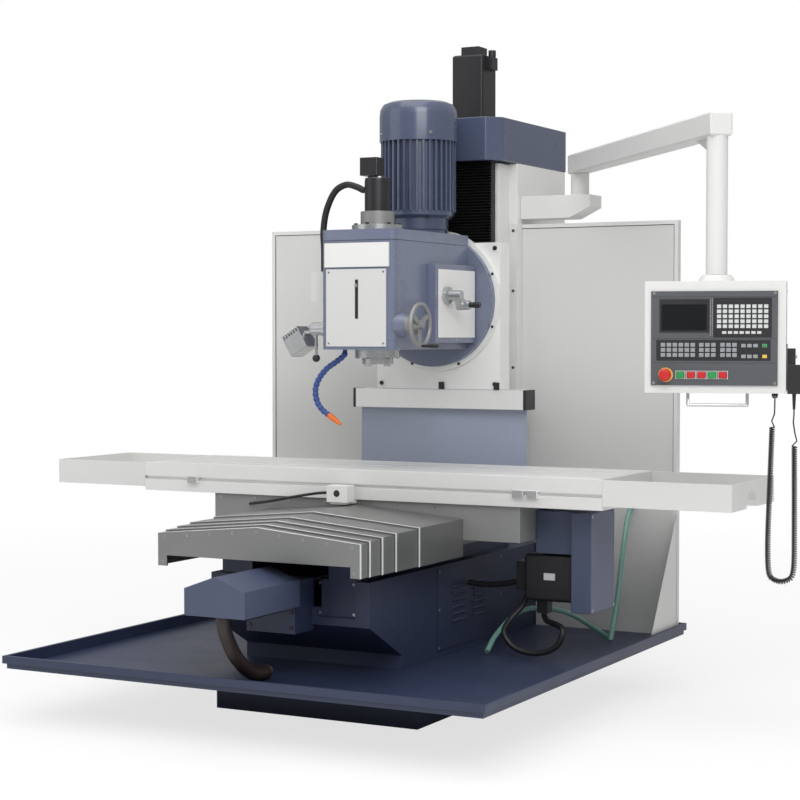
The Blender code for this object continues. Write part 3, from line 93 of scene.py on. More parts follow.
# The pendant's face in the enlarged photograph: pixels, as left, right, top and bottom edges
PHOTO_CORNER = (430, 935)
PIXELS_PER_METRE = (1452, 1445)
SCREEN_BEZEL = (472, 712, 975, 1135)
SCREEN_GLASS = (482, 700, 1000, 1126)
SCREEN_KEYS = (478, 706, 1130, 1134)
LETTER_PLATE = (732, 1010, 968, 1160)
LETTER_KEYS = (745, 997, 998, 1118)
LETTER_ROW = (770, 965, 1127, 1145)
MODE_PLATE = (457, 1005, 1172, 1272)
MODE_BLOCKS = (((475, 648, 1183, 1257), 6), ((660, 747, 1183, 1257), 3), ((762, 848, 1183, 1257), 3))
SPARE_KEYS = (862, 948)
START_KEYS = (962, 992)
KEY_ROW_TOPS = (1188, 1240)
KEY_ROW_HEIGHT = 22
DIVIDER_BARS = (715, 724)
SEAM_ROWS = (962, 1165, 1282)
SEAM_ENDS = (436, 1034)


# Finishes
def linear(red, green, blue):
    """Scene-linear value of an 8-bit screen colour."""
    return tuple(((c / 255 + 0.055) / 1.055) ** 2.4 for c in (red, green, blue))


def add_node(tree, kind, inputs=None):
    made = tree.nodes.new(kind)
    for key, value in (inputs or {}).items():
        if isinstance(value, bpy.types.NodeSocket):
            tree.links.new(value, made.inputs[key])
        else:
            made.inputs[key].default_value = value
    return made


def finish(
    name, colour, rough, metal=0.0, mottle=0.06, patch=5.0, grain=(1, 1, 1), fine=260.0, bump=0.04,
    coat=0.0, vary=0.06,
):
    """Painted or ground surface: soft patches, fine grain along one way, and a matching bump."""
    made = bpy.data.materials.new(name)
    made.use_nodes = True
    tree = made.node_tree
    surface = tree.nodes["Principled BSDF"]
    place = add_node(tree, "ShaderNodeTexCoord").outputs["Object"]
    along = add_node(tree, "ShaderNodeMapping", {"Vector": place, "Scale": grain}).outputs["Vector"]
    broad = {"Vector": place, "Scale": patch, "Detail": 5.0}
    patches = add_node(tree, "ShaderNodeTexNoise", broad).outputs[0]
    narrow = {"Vector": along, "Scale": fine, "Detail": 3.0}
    grains = add_node(tree, "ShaderNodeTexNoise", narrow).outputs[0]
    both = add_node(tree, "ShaderNodeMath", {0: patches, 1: grains})
    both.operation = "ADD"
    ramp = add_node(tree, "ShaderNodeValToRGB")
    shared = add_node(tree, "ShaderNodeMath", {0: both.outputs[0], 1: 0.5})
    shared.operation = "MULTIPLY"
    tree.links.new(shared.outputs[0], ramp.inputs[0])
    base = linear(*colour)
    stops = zip(ramp.color_ramp.elements, (0.38, 0.62), (1 - mottle, 1 + mottle))
    for stop, position, factor in stops:
        stop.position = position
        stop.color = (*(min(1.0, c * factor) for c in base), 1)
    tree.links.new(ramp.outputs[0], surface.inputs["Base Color"])
    spread = {"Value": shared.outputs[0], "From Min": 0.35, "From Max": 0.65}
    spread.update({"To Min": max(0.02, rough - vary), "To Max": rough + vary})
    tree.links.new(add_node(tree, "ShaderNodeMapRange", spread).outputs[0], surface.inputs["Roughness"])
    relief = add_node(tree, "ShaderNodeBump", {"Height": grains, "Strength": bump, "Distance": 0.001})
    tree.links.new(relief.outputs[0], surface.inputs["Normal"])
    surface.inputs["Metallic"].default_value = metal
    surface.inputs["Coat Weight"].default_value = coat
    surface.inputs["Coat Roughness"].default_value = 0.12
    return made


HEAD_BLUE = finish("head_blue", (106, 113, 134), 0.30, coat=0.25, mottle=0.04, bump=0.03)
MOTOR_BLUE = finish("motor_blue", (72, 80, 103), 0.24, coat=0.4, mottle=0.04, bump=0.03)
BED_BLUE = finish("bed_blue", (43, 51, 77), 0.42, mottle=0.06, bump=0.04)
COVER_BLUE = finish("cover_blue", (67, 75, 99), 0.38, mottle=0.05, bump=0.03)
APRON_BLUE = finish("apron_blue", (154, 161, 180), 0.34, mottle=0.03, bump=0.02)
PALE = finish("pale_sheet", (212, 212, 210), 0.42, mottle=0.02, patch=2.0, bump=0.02)
PANEL_GREY = finish("panel_grey", (204, 204, 202), 0.45, mottle=0.02, patch=2.0, bump=0.02)
WHITE = finish("white_paint", (222, 222, 220), 0.40, mottle=0.02, patch=2.0, bump=0.02)
GROUND = finish(
    "ground_steel", (228, 228, 226), 0.34, 0.4, mottle=0.01, patch=2.0, fine=40, bump=0.0, vary=0.01
)
STEEL = finish("turned_steel", (186, 187, 188), 0.27, 0.9, mottle=0.03, fine=600, bump=0.01)
COVER_STEEL = finish(
    "cover_steel", (138, 139, 138), 0.34, 0.75, mottle=0.04, grain=(1, 0.03, 1), fine=500, bump=0.02
)
# Real steel wiper strips, painted near-white and less metallic: a painted highlight along the covers' front
# edges.
EDGE_STEEL_HIGHLIGHT = finish("edge_steel_highlight", (238, 239, 238), 0.30, 0.3, mottle=0.02, fine=600, bump=0.01)
CAST = finish("cast_grey", (138, 139, 138), 0.42, 0.35, mottle=0.04, bump=0.04)
DARK = finish("dark_steel", (70, 72, 76), 0.38, 0.6, mottle=0.08)
BLACK = finish("black_satin", (28, 28, 31), 0.38, mottle=0.10, bump=0.08)
RUBBER = finish("black_rubber", (24, 24, 26), 0.52, mottle=0.12, bump=0.10)
CONDUIT = finish("conduit_brown", (48, 38, 36), 0.45, mottle=0.12, bump=0.08)
PANEL_DARK = finish("panel_dark", (78, 80, 84), 0.40, mottle=0.05, bump=0.06)
KEY_PALE = finish("key_pale", (196, 198, 198), 0.45, mottle=0.03)
KEY_GREY = finish("key_grey", (138, 142, 146), 0.45, mottle=0.04)
SCREEN = finish("screen_glass", (16, 18, 22), 0.08, mottle=0.05, bump=0.0)
RED = finish("signal_red", (186, 32, 30), 0.32, mottle=0.05)
GREEN = finish("signal_green", (36, 138, 70), 0.34, mottle=0.05)
YELLOW = finish("signal_yellow", (222, 178, 44), 0.36, mottle=0.04)
HOSE_GREEN = finish("hose_green", (138, 184, 174), 0.22, mottle=0.08)
HOSE_BLUE = finish("hose_blue", (46, 74, 136), 0.34, mottle=0.05)
ORANGE = finish("nozzle_orange", (226, 112, 36), 0.36, mottle=0.05)
HOSE_GREEN.node_tree.nodes["Principled BSDF"].inputs["Transmission Weight"].default_value = 0.35


# Making pieces
def place_piece(name, bm, materials, body, soften=0.0):
    """Turns a bmesh into a piece that rides on a body, its sharp edges rounded by a width."""
    if soften:
        edges = [e for e in bm.edges if len(e.link_faces) == 2 and e.calc_face_angle(0) > SHARP]
        bmesh.ops.bevel(
            bm, geom=edges, offset=soften, segments=2, profile=0.5, affect="EDGES", clamp_overlap=True
        )
    data = bpy.data.meshes.new(name)
    bm.to_mesh(data)
    bm.free()
    for material in materials:
        data.materials.append(material)
    data.shade_smooth()
    data.set_sharp_from_angle(angle=math.radians(42))
    piece = bpy.data.objects.new(name, data)
    bpy.context.scene.collection.objects.link(piece)
    piece.modifiers.new("flat_faces", "WEIGHTED_NORMAL").keep_sharp = True
    if body:
        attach(piece, body)
    return piece


def dress(node, materials, soften=0.0015, zone=None):
    """A copy of a CAD node's mesh with rounded edges. zone gives a face's material index."""
    bm = bmesh.new()
    bm.from_mesh(NODES[node].data)
    bmesh.ops.remove_doubles(bm, verts=bm.verts, dist=1e-5)
    bmesh.ops.dissolve_limit(bm, angle_limit=math.radians(0.5), verts=bm.verts, edges=bm.edges)
    for face in bm.faces:
        face.material_index = zone(face.calc_center_median(), face.normal) if zone else 0
    piece = place_piece(f"{node}_finish", bm, materials, BODY_OF[node], soften)
    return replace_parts(piece, node)


class Shape:
    """Boxes, discs and outlines gathered in one bmesh, placed by a matrix."""

    def __init__(self, place=None):
        self.bm = bmesh.new()
        self.place = place or Matrix()

    def colour(self, verts, index):
        for face in {f for v in verts for f in v.link_faces}:
            face.material_index = index

    def box(self, low, high, index=0):
        low, high = Vector(low), Vector(high)
        size = Matrix.Diagonal((*(high - low), 1))
        matrix = self.place @ Matrix.Translation((low + high) / 2) @ size
        made = bmesh.ops.create_cube(self.bm, size=1, matrix=matrix)
        self.colour(made["verts"], index)

    def disc(self, centre, axis, radius, reach, index=0, sides=20, tip=None):
        """A cylinder or cone that starts at its centre and reaches along an axis, backwards if negative."""
        turn = {
            "X": Matrix.Rotation(math.pi / 2, 4, "Y"),
            "Y": Matrix.Rotation(-math.pi / 2, 4, "X"),
            "Z": Matrix(),
        }
        flip = Matrix.Rotation(math.pi, 4, "X") if reach < 0 else Matrix()
        length = abs(reach)
        matrix = self.place @ Matrix.Translation(centre) @ turn[axis] @ flip
        matrix = matrix @ Matrix.Translation((0, 0, length / 2))
        radii = {"radius1": radius, "radius2": radius if tip is None else tip}
        made = bmesh.ops.create_cone(
            self.bm, cap_ends=True, segments=sides, depth=length, matrix=matrix, **radii
        )
        self.colour(made["verts"], index)

    def screw(self, centre, axis, radius, reach, index=0, socket=None):
        """A round head, with a thin dark disc of painted shade in its socket if a material index is given
        for it.
        """
        self.disc(centre, axis, radius, reach, index, 14)
        if socket is not None:
            # The socket's recess is drawn as a flat dark disc: painted shade.
            tip = Vector(centre)
            tip["XYZ".index(axis)] += reach
            self.disc(tip, axis, radius * 0.5, math.copysign(0.0003, reach), socket, 6)

    def outline(self, points, direction, index=0):
        """A flat outline pushed along a direction."""
        verts = [self.bm.verts.new(self.place @ Vector(p)) for p in points]
        face = self.bm.faces.new(verts)
        pushed = bmesh.ops.extrude_face_region(self.bm, geom=[face])["geom"]
        moved = [g for g in pushed if isinstance(g, bmesh.types.BMVert)]
        turned = self.place.to_3x3() @ Vector(direction)
        bmesh.ops.translate(self.bm, verts=moved, vec=turned)
        self.colour(verts + moved, index)

    def ring(self, centre, axis, outer, inner, sides, push, index=0):
        """A flat ring about an axis, pushed along a direction."""
        across = [i for i in range(3) if i != "XYZ".index(axis)]
        turns = [2 * math.pi * i / sides for i in range(sides)]
        for a, b in zip(turns, turns[1:] + turns[:1]):
            corners = []
            for turn, radius in ((a, outer), (a, inner), (b, inner), (b, outer)):
                corner = Vector(centre)
                corner[across[0]] += radius * math.cos(turn)
                corner[across[1]] += radius * math.sin(turn)
                corners.append(corner)
            self.outline(corners, push, index)

    def piece(self, name, materials, body, soften=0.0):
        bmesh.ops.recalc_face_normals(self.bm, faces=self.bm.faces)
        return place_piece(name, self.bm, materials, body, soften)


# Cords
def smooth_route(points, count):
    """Evenly spread points along a smooth curve through the given ones."""
    knots = [Vector(p) for p in points]
    knots = [2 * knots[0] - knots[1], *knots, 2 * knots[-1] - knots[-2]]
    dense = []
    for a, b, c, d in zip(knots, knots[1:], knots[2:], knots[3:]):
        for i in range(24):
            t = i / 24
            square = (2 * a - 5 * b + 4 * c - d) * t**2
            cube = (3 * b - a - 3 * c + d) * t**3
            dense.append(0.5 * (2 * b + (c - a) * t + square + cube))
    dense.append(knots[-2])
    lengths = [0.0]
    for a, b in zip(dense, dense[1:]):
        lengths.append(lengths[-1] + (b - a).length)
    even = []
    k = 0
    for i in range(count):
        want = lengths[-1] * i / (count - 1)
        while k < len(lengths) - 2 and lengths[k + 1] < want:
            k += 1
        share = (want - lengths[k]) / (lengths[k + 1] - lengths[k])
        even.append(dense[k].lerp(dense[k + 1], share))
    return even


def curve_piece(name, points, radius, material, radii=None, resolution=3):
    data = bpy.data.curves.new(name, "CURVE")
    data.dimensions = "3D"
    data.bevel_depth = radius
    data.bevel_resolution = resolution
    data.use_fill_caps = True
    spline = data.splines.new("POLY")
    spline.points.add(len(points) - 1)
    for i, (point, place) in enumerate(zip(spline.points, points)):
        point.co = (*place, 1)
        point.radius = radii[i] if radii else 1
    spline.use_smooth = True
    data.materials.append(material)
    piece = bpy.data.objects.new(name, data)
    bpy.context.scene.collection.objects.link(piece)
    return piece


def add_cord(node, points, radius, material, radii=None, resolution=3):
    """A free cord in place of its CAD solid, both ends held by the object."""
    points = [Vector(p) for p in points]
    piece = curve_piece(f"{node}_line", points, radius, material, radii, resolution)
    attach(piece, BODY_OF[node])
    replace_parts(piece, node)
    return piece


def pendant_cord():
    """Curly cord of the hand unit, in a loop under the pendant."""
    left, right, turn_z = 0.1775, 0.2640, 0.632
    middle, radius = (left + right) / 2, (right - left) / 2
    lead_in = [(0.197, 1.2035), (0.197, 1.187), (0.196, 1.152), (0.187, 1.128)]
    axis = [(left + 0.011, 1.108), (left + 0.006, 0.95), (left, 0.76), (left, turn_z + 0.03)]
    bends = [math.pi * (i + 1) / 6 for i in range(5)]
    axis += [(middle - radius * math.cos(a), turn_z - radius * math.sin(a)) for a in bends]
    axis += [(right, turn_z + 0.03), (right, 0.78), (right - 0.001, 0.93), (right - 0.002, 1.045)]
    lead_out = [(0.270, 1.062), (0.263, 1.09), (0.258, 1.125), (0.260, 1.150), (0.260, 1.1665)]
    curls, points_each, curl_radius, cord_radius = 132, 12, 0.0078, 0.0025
    steps = curls * points_each
    spine = smooth_route([(x, CORD_Y, z) for x, z in axis], steps + 1)
    out = Vector((0, 1, 0))
    coil = []
    for i, place in enumerate(spine):
        along = (spine[min(i + 1, steps)] - spine[max(i - 1, 0)]).normalized()
        a = 2 * math.pi * i / points_each
        coil.append(place + curl_radius * (math.cos(a) * along.cross(out) + math.sin(a) * out))
    ends = [[Vector((x, CORD_Y, z)) for x, z in lead] for lead in (lead_in, lead_out)]
    points = [PENDANT_FRAME @ p for p in ends[0] + coil + ends[1]]
    add_cord("pendant_cord", points, cord_radius, RUBBER, resolution=1)


def bed_and_saddle_cords():
    """Conduit of the Y motor, the two hoses in the tray and the table motor's cable."""
    motor_y, floor = X_MOTOR_Y, TRAY_LIE
    ribs = 58
    front = [
        (0, -1.100, 0.462), (0, -1.097, 0.430), (0, -1.080, 0.390), (0, -1.030, 0.320), (0, -0.960, 0.262),
        (0, -0.890, 0.2305), (0, -0.820, 0.2275),
    ]
    radii = [1.0 if i % 2 else 0.84 for i in range(2 * ribs)]
    add_cord("front_conduit", smooth_route(front, 2 * ribs), 0.026, CONDUIT, radii=radii)
    down = [
        (0.772, 0.769, 0.720), (0.772, 0.740, 0.715), (0.773, 0.690, 0.660), (0.778, 0.630, 0.540),
        (0.784, 0.570, 0.400), (0.788, 0.510, 0.280), (0.790, 0.470, floor),
    ]
    add_cord("coolant_return", smooth_route(down, 60), 0.0105, HOSE_GREEN)
    across = [
        (0.468, 0.010, floor), (0.472, 0.094, 0.268), (0.506, 0.215, 0.336), (0.5735, 0.300, 0.347),
        (0.647, 0.385, 0.321), (0.710, 0.470, 0.262), (0.745, 0.547, floor),
    ]
    add_cord("coolant_supply", smooth_route(across, 60), 0.0105, HOSE_GREEN)
    loop = [
        (0.667, motor_y, 0.3495), (0.690, motor_y - 0.020, 0.334), (0.778, motor_y - 0.085, 0.318),
        (0.757, 0, 0.252), (0.676, 0, 0.222), (0.590, 0, 0.236), (0.542, motor_y - 0.095, 0.290),
        (0.565, motor_y - 0.075, 0.345), (0.590, motor_y - 0.035, 0.385), (0.600, motor_y, 0.434),
    ]
    points = [(0.667, motor_y, 0.3615), *smooth_route(loop, 90), (0.600, motor_y, 0.4495)]
    add_cord("x_motor_cable", points, 0.0115, RUBBER)


def head_cords():
    """Conduit over the head, and the coolant hose with its nozzle."""
    x, end_x, head_top = -0.240, -0.051, HEAD_TOP
    route = [
        (x, 0, 1.666), (x, 0, head_top - 0.07), (x - 0.003, 0, head_top + 0.01),
        (x + 0.012, 0, head_top + 0.09), (x + 0.05, 0, head_top + 0.16), (x + 0.10, 0, head_top + 0.185),
        (x + 0.145, 0, head_top + 0.176),
        (end_x - 0.014, 0, head_top + 0.162),
    ]
    points = [*smooth_route(route, 90), (end_x, 0, head_top + 0.162)]
    add_cord("head_conduit", points, 0.013, RUBBER)
    y, beads, hose = -0.06, 17, 0.0125
    route = [
        (-0.112, y, 1.350), (-0.118, y, 1.335), (-0.150, y, 1.312), (-0.195, y, 1.283), (-0.232, y, 1.240),
        (-0.246, y, 1.195), (-0.236, y, 1.150), (-0.212, y, 1.120), (-0.182, y, 1.100),
    ]
    along = smooth_route(route, 8 * beads + 1)
    swell = [0.72 + 0.28 * abs(math.sin(math.pi * i / 8)) for i in range(8 * beads + 1)]
    points = [Vector((-0.112, y, 1.3595)), *along]
    add_cord("coolant_hose", points, hose, HOSE_BLUE, radii=[0.72, *swell])
    heading = (along[-1] - along[-2]).normalized()
    tip = [along[-1] + heading * reach for reach in (-0.004, 0.002, 0.030, 0.062)]
    nozzle = curve_piece("coolant_nozzle", tip, hose, ORANGE, [0.9, 1.0, 0.85, 0.42])
    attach(nozzle, "head")


def tube_mesh(name, points, radius, material):
    """A curve's tube as a mesh with no parent, for a piece that bends between two bodies."""
    curve = curve_piece(name + "_curve", points, radius, material)
    bpy.context.view_layer.update()
    data = bpy.data.meshes.new_from_object(curve.evaluated_get(bpy.context.evaluated_depsgraph_get()))
    bpy.data.objects.remove(curve)
    data.shade_smooth()
    piece = bpy.data.objects.new(name, data)
    bpy.context.scene.collection.objects.link(piece)
    return piece


def x_conduit():
    """Conduit from the bed to the table motor, which shifts with the saddle."""
    y = X_MOTOR_Y
    lead = [(0.3585, y, 0.458), (0.42, y, 0.454), (0.50, y, 0.462), (0.560, y, 0.475)]
    points = [Vector((0.3465, y, 0.458)), *smooth_route(lead, 40), Vector((0.5745, y, 0.475))]
    piece = tube_mesh("x_conduit_line", points, 0.0115, RUBBER)
    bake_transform(piece)
    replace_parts(piece, "x_conduit")


def bellows():
    """Pleated guard between the column's cap and the slide."""
    low, high, half, back = 1.7935, 2.13, 0.22, 0.611
    folds, outer, inner = 28, 0.562, 0.580
    points = [(back, low)]
    for i in range(2 * folds + 1):
        points.append((inner if i % 2 == 0 else outer, low + (high - low) * i / (2 * folds)))
    points.append((back, high))
    shape = Shape()
    shape.outline([(-half, y, z) for y, z in points], (2 * half, 0, 0))
    piece = shape.piece("column_bellows_folds", [RUBBER], None)
    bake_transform(piece)
    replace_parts(piece, "column_bellows")


# Finishes of the CAD nodes
def dress_bed():
    dress("y_motor_cover", [COVER_BLUE], 0.0009)
    for node in ("bed_casting", "drip_tray", "bed_panel"):
        dress(node, [BED_BLUE], 0.003 if node == "bed_casting" else 0.0009)
    dress("y_motor", [BLACK], 0.002)
    for k in range(5):
        dress(f"way_cover_{k}", [COVER_STEEL], 0.0006)
    for node in ("y_screw", "x_screw", "z_screw", "quill"):
        dress(node, [STEEL], 0.0008)


def dress_saddle_and_table():
    dress("saddle", [CAST], 0.0025)
    dress("table", [GROUND, STEEL], 0.0012, lambda c, n: int(c.y < -0.1515))
    for node in ("wing_left", "wing_right"):
        dress(node, [PALE], 0.0009)
    dress("limit_switch", [WHITE], 0.0015)
    dress("x_drive_housing", [COVER_BLUE], 0.003)
    dress("x_motor", [BLACK], 0.002)


def dress_column():
    dress("column", [PALE], 0.003)
    dress("column_cap", [MOTOR_BLUE], 0.004)
    dress("z_motor", [BLACK], 0.002)
    dress("z_slide", [WHITE], 0.003)
    dress("slide_apron", [APRON_BLUE, GROUND], 0.0009, lambda c, n: int(c.z > 1.1112))
    for node in ("splash_panel_left", "splash_panel_right"):
        dress(node, [PANEL_GREY], 0.0009)
    for node in ("arm_bracket", "pendant_arm"):
        dress(node, [PALE], 0.002)


def head_zone(centre, normal):
    if centre.z < 1.3598 and abs(centre.x) < 0.1:
        return 2
    if centre.y < HEAD_FRONT - 0.0004 and centre.z > 1.67:
        return 1
    if centre.x < -HEAD_HALF - 0.0004:
        return 3 if centre.z < 1.5 else 4
    return 0


def drawbar_zone(centre, normal):
    if centre.z < 1.8430:
        return 0
    return 1 if centre.z < 1.8960 else 2


def dress_head():
    dress("head_housing", [HEAD_BLUE, WHITE, STEEL, BLACK, PALE], 0.002, head_zone)
    dress("face_plate", [PANEL_GREY], 0.0007)
    dress("drawbar_unit", [STEEL, CAST, BLACK], 0.0015, drawbar_zone)
    dress("spindle_motor", [MOTOR_BLUE], 0.0008)
    dress("motor_fan_cover", [MOTOR_BLUE], 0.0008)
    dress("gear_cover", [HEAD_BLUE, WHITE], 0.0012, lambda c, n: int(c.x > 0.1987))
    dress("spindle", [STEEL], 0.0008)
    dress("motor_fan", [BLACK], 0.0006)
    dress("handwheel", [CAST, BLACK], 0.0008, lambda c, n: int(c.x > 0.2635))
    dress("feed_lever", [STEEL, BLACK], 0.0006, lambda c, n: int(c.z < 1.3415))
    dress("speed_lever", [STEEL, BLACK], 0.0006, lambda c, n: int(c.x > 0.2862))
    dress("work_lamp", [STEEL], 0.0008)


def pendant_zone(centre, normal):
    place = PENDANT_FRAME.inverted() @ centre
    if place.y < -0.0752:
        return 1
    if place.z < 1.2218:
        return 3 if abs(place.x - 0.197) < 0.02 else 2
    if place.x > 0.2337:
        return 3
    return 0


def dress_pendant():
    dress("pendant_box", [PALE, PANEL_DARK, STEEL, BLACK], 0.0015, pendant_zone)
    dress("mpg_unit", [BLACK], 0.002)
    dress("mpg_dial", [STEEL], 0.0008)
    dress("emergency_stop", [RED], 0.0008)
    for i, colour in enumerate((GREEN, RED, RED, GREEN, RED)):
        dress(f"push_button_{i}", [colour], 0.0006)


# Details on the head
def head_outline(grow):
    half, front, corner = HEAD_HALF + grow, HEAD_FRONT - grow, HEAD_CORNER + grow
    turns = [math.pi / 2 * i / 8 for i in range(9)]
    right = [(half - corner + corner * math.cos(a), front + corner - corner * math.sin(a)) for a in turns]
    return [(half, 0.468), *right, *[(-x, y) for x, y in reversed(right)], (-half, 0.468)]


def head_seam():
    """Dark line where the head's lid meets the housing."""
    shape = Shape()
    low, high = 1.7772, 1.7792
    outer, inner = head_outline(0.0005), head_outline(-0.002)
    shape.outline([(x, y, low) for x, y in outer + list(reversed(inner))], (0, 0, high - low))
    shape.piece("head_lid_seam", [BLACK], "head")


def head_screws():
    """Fasteners of the head's plates and flanges, and a black strip of painted shade standing for the depth
    slot's inside.
    """
    shape = Shape()
    front = HEAD_FRONT - 0.0035
    for x in (-0.122, 0.116):
        for z in (1.384, 1.656):
            shape.screw((x, front, z), "Y", 0.0042, -0.0012, 0, 1)
    # Black strip over the depth slot: painted shade for its recess, not a part.
    shape.box((-0.0068, front + 0.0008, 1.4785), (0.0068, front + 0.003, 1.6275), 1)
    shape.box((-0.005, front - 0.0005, 1.599), (0.005, front + 0.002, 1.605), 0)
    for y, z in [(y, z) for y in (0.117, 0.290, 0.450) for z in (1.395, 1.685)] + [(0.117, 1.540)]:
        shape.screw((GEAR_RIM, y, z), "X", 0.0055, 0.0020, 0, 1)
    for i in range(6):
        a = math.pi / 6 + i * math.pi / 3
        shape.screw((0.084 * math.cos(a), 0.084 * math.sin(a), 1.8425), "Z", 0.0075, 0.008, 1)
        shape.screw((0.077 * math.cos(a), 0.077 * math.sin(a), 1.328), "Z", 0.006, -0.003, 1)
    for i in range(4):
        a = math.pi / 4 + i * math.pi / 2
        shape.screw((0.134 * math.cos(a), MOTOR_Y + 0.134 * math.sin(a), 1.8945), "Z", 0.0085, -0.010, 1)
    for z in (1.556, 1.655):
        for y in (-0.040, 0.060):
            shape.screw((-0.2705, y, z), "X", 0.004, -0.0015, 0, 1)
    shape.piece("head_fasteners", [STEEL, BLACK], "head")


def fan_cover_screws():
    """Four screws round the fan cover."""
    shape = Shape()
    for i in range(4):
        a = math.pi / 4 + i * math.pi / 2
        place = Matrix.Translation((0, MOTOR_Y, 2.222)) @ Matrix.Rotation(a, 4, "Z")
        shape.place = place
        shape.screw((0.1575, 0, 0), "X", 0.0062, 0.0035, 0, 1)
    shape.piece("fan_cover_screws", [STEEL, BLACK], "head")


def lamp_glass():
    """Front pane of the work lamp."""
    place = Matrix.Translation((-0.332, -0.035, 1.39)) @ Matrix.Rotation(math.radians(-32), 4, "Y")
    shape = Shape(place)
    shape.box((-0.036, -0.039, -0.0462), (0.036, 0.039, -0.0448))
    shape.piece("lamp_glass", [WHITE], "lamp", 0.0006)


# Details on the pendant
def keys(shape, left, right, top, bottom, columns, rows, index, gap=0.28):
    """A block of bare keys, between edges measured on the panel."""
    wide, high = (right - left) / columns, (top - bottom) / rows
    for i in range(columns):
        for j in range(rows):
            x, z = left + i * wide, bottom + j * high
            low = (x + wide * gap / 2, PANEL_FRONT - 0.0024, z + high * gap / 2)
            shape.box(low, (x + wide * (1 - gap / 2), PANEL_FRONT, z + high * (1 - gap / 2)), index)


def panel_x(u):
    """Place across the panel from a pixel of the enlarged photograph."""
    return PANEL_LEFT + (u - PHOTO_CORNER[0]) / PIXELS_PER_METRE[0]


def panel_z(v):
    """Height on the panel from a pixel of the enlarged photograph."""
    return PANEL_TOP - (v - PHOTO_CORNER[1]) / PIXELS_PER_METRE[1]


def panel_block(shape, edges, columns, rows, index):
    left, right, top, bottom = edges
    keys(shape, panel_x(left), panel_x(right), panel_z(top), panel_z(bottom), columns, rows, index)


def panel_plate(shape, edges, thick, index):
    left, right, top, bottom = edges
    low = (panel_x(left), PANEL_FRONT - thick, panel_z(bottom))
    shape.box(low, (panel_x(right), PANEL_FRONT + 0.001, panel_z(top)), index)


def pendant_face():
    """Screen, bare keys and seams on the control panel."""
    shape = Shape(PENDANT_FRAME)
    panel_plate(shape, SCREEN_BEZEL, 0.0030, 0)
    panel_plate(shape, LETTER_PLATE, 0.0012, 0)
    panel_plate(shape, MODE_PLATE, 0.0012, 0)
    for left in DIVIDER_BARS:
        panel_plate(shape, (left, left + 5, 968, 1155), 0.0022, 1)
    for row in SEAM_ROWS:
        panel_plate(shape, (*SEAM_ENDS, row, row + 2), 0.0006, 2)
    shape.piece("pendant_bezels", [BLACK, STEEL, DARK], "pendant", 0.0005)
    glass = Shape(PENDANT_FRAME)
    panel_plate(glass, SCREEN_GLASS, 0.0034, 0)
    glass.piece("pendant_screen", [SCREEN], "pendant")
    pads = Shape(PENDANT_FRAME)
    panel_block(pads, LETTER_KEYS, 9, 5, 0)
    panel_block(pads, LETTER_ROW, 7, 1, 0)
    for edges, columns in MODE_BLOCKS:
        panel_block(pads, edges, columns, 3, 1)
    for top in KEY_ROW_TOPS:
        panel_block(pads, (*SPARE_KEYS, top, top + KEY_ROW_HEIGHT), 3, 1, 1)
    for top, colour in zip(KEY_ROW_TOPS, (2, 3)):
        panel_block(pads, (*START_KEYS, top, top + KEY_ROW_HEIGHT), 1, 1, colour)
    panel_block(pads, SCREEN_KEYS, 8, 1, 1)
    pads.piece("pendant_keys", [KEY_PALE, KEY_GREY, GREEN, YELLOW], "pendant", 0.0004)


def button_frame(shape, x, z):
    """Pale frame round a push button, open where the button goes in."""
    outer_x, outer_z, inner_x, inner_z = 0.0165, 0.0140, 0.0142, 0.0117
    front = PANEL_FRONT - 0.0022
    for side in (-1, 1):
        across = sorted((x + side * inner_x, x + side * outer_x))
        shape.box((across[0], front, z - outer_z), (across[1], PANEL_FRONT, z + outer_z), 0)
        upright = sorted((z + side * inner_z, z + side * outer_z))
        shape.box((x - inner_x, front, upright[0]), (x + inner_x, PANEL_FRONT, upright[1]), 0)


def stop_ring(shape, x, z):
    """Yellow ring round the emergency stop, open where its stem goes in."""
    shape.ring((x, PANEL_FRONT, z), "Y", 0.0245, 0.0140, 28, (0, -0.0022, 0), 3)


def pendant_trim():
    """Frames round the buttons, panel screws and the hand unit's fittings."""
    shape = Shape(PENDANT_FRAME)
    row = 1.283
    for i in range(5):
        x = -0.1135 + i * 0.0353
        button_frame(shape, x, row)
    stop_ring(shape, -0.1625, row)
    for x in (PANEL_LEFT + 0.010, 0.2075 - 0.010):
        for z in (1.256, 1.556):
            shape.screw((x, PANEL_FRONT, z), "Y", 0.0042, -0.0014, 1, 2)
    for z in (1.256, 1.565):
        shape.screw((0.2335, 0.05, z), "X", 0.004, 0.0014, 1, 2)
    for z, radius in ((1.249, 0.008), (1.288, 0.007), (1.305, 0.006)):
        shape.disc((0.290, -0.047, z), "X", radius, 0.009, 1, 16)
    shape.disc((0.264, CORD_Y, 1.345), "X", 0.006, 0.005, 0, 14)
    shape.piece("pendant_trim", [KEY_PALE, STEEL, BLACK, YELLOW], "pendant", 0.0004)


def arm_details():
    """Gusset under the arm, beside the pendant's tube."""
    place = Matrix.Translation((*PENDANT_TUBE, 0)) @ Matrix.Rotation(math.radians(-49.63), 4, "Z")
    shape = Shape(place)
    corners = [(-0.034, 2.0852), (-0.174, 2.0852), (-0.034, 2.0252)]
    shape.outline([(x, -0.005, z) for x, z in corners], (0, 0.010, 0))
    shape.piece("arm_gusset", [PALE], "arm", 0.0008)


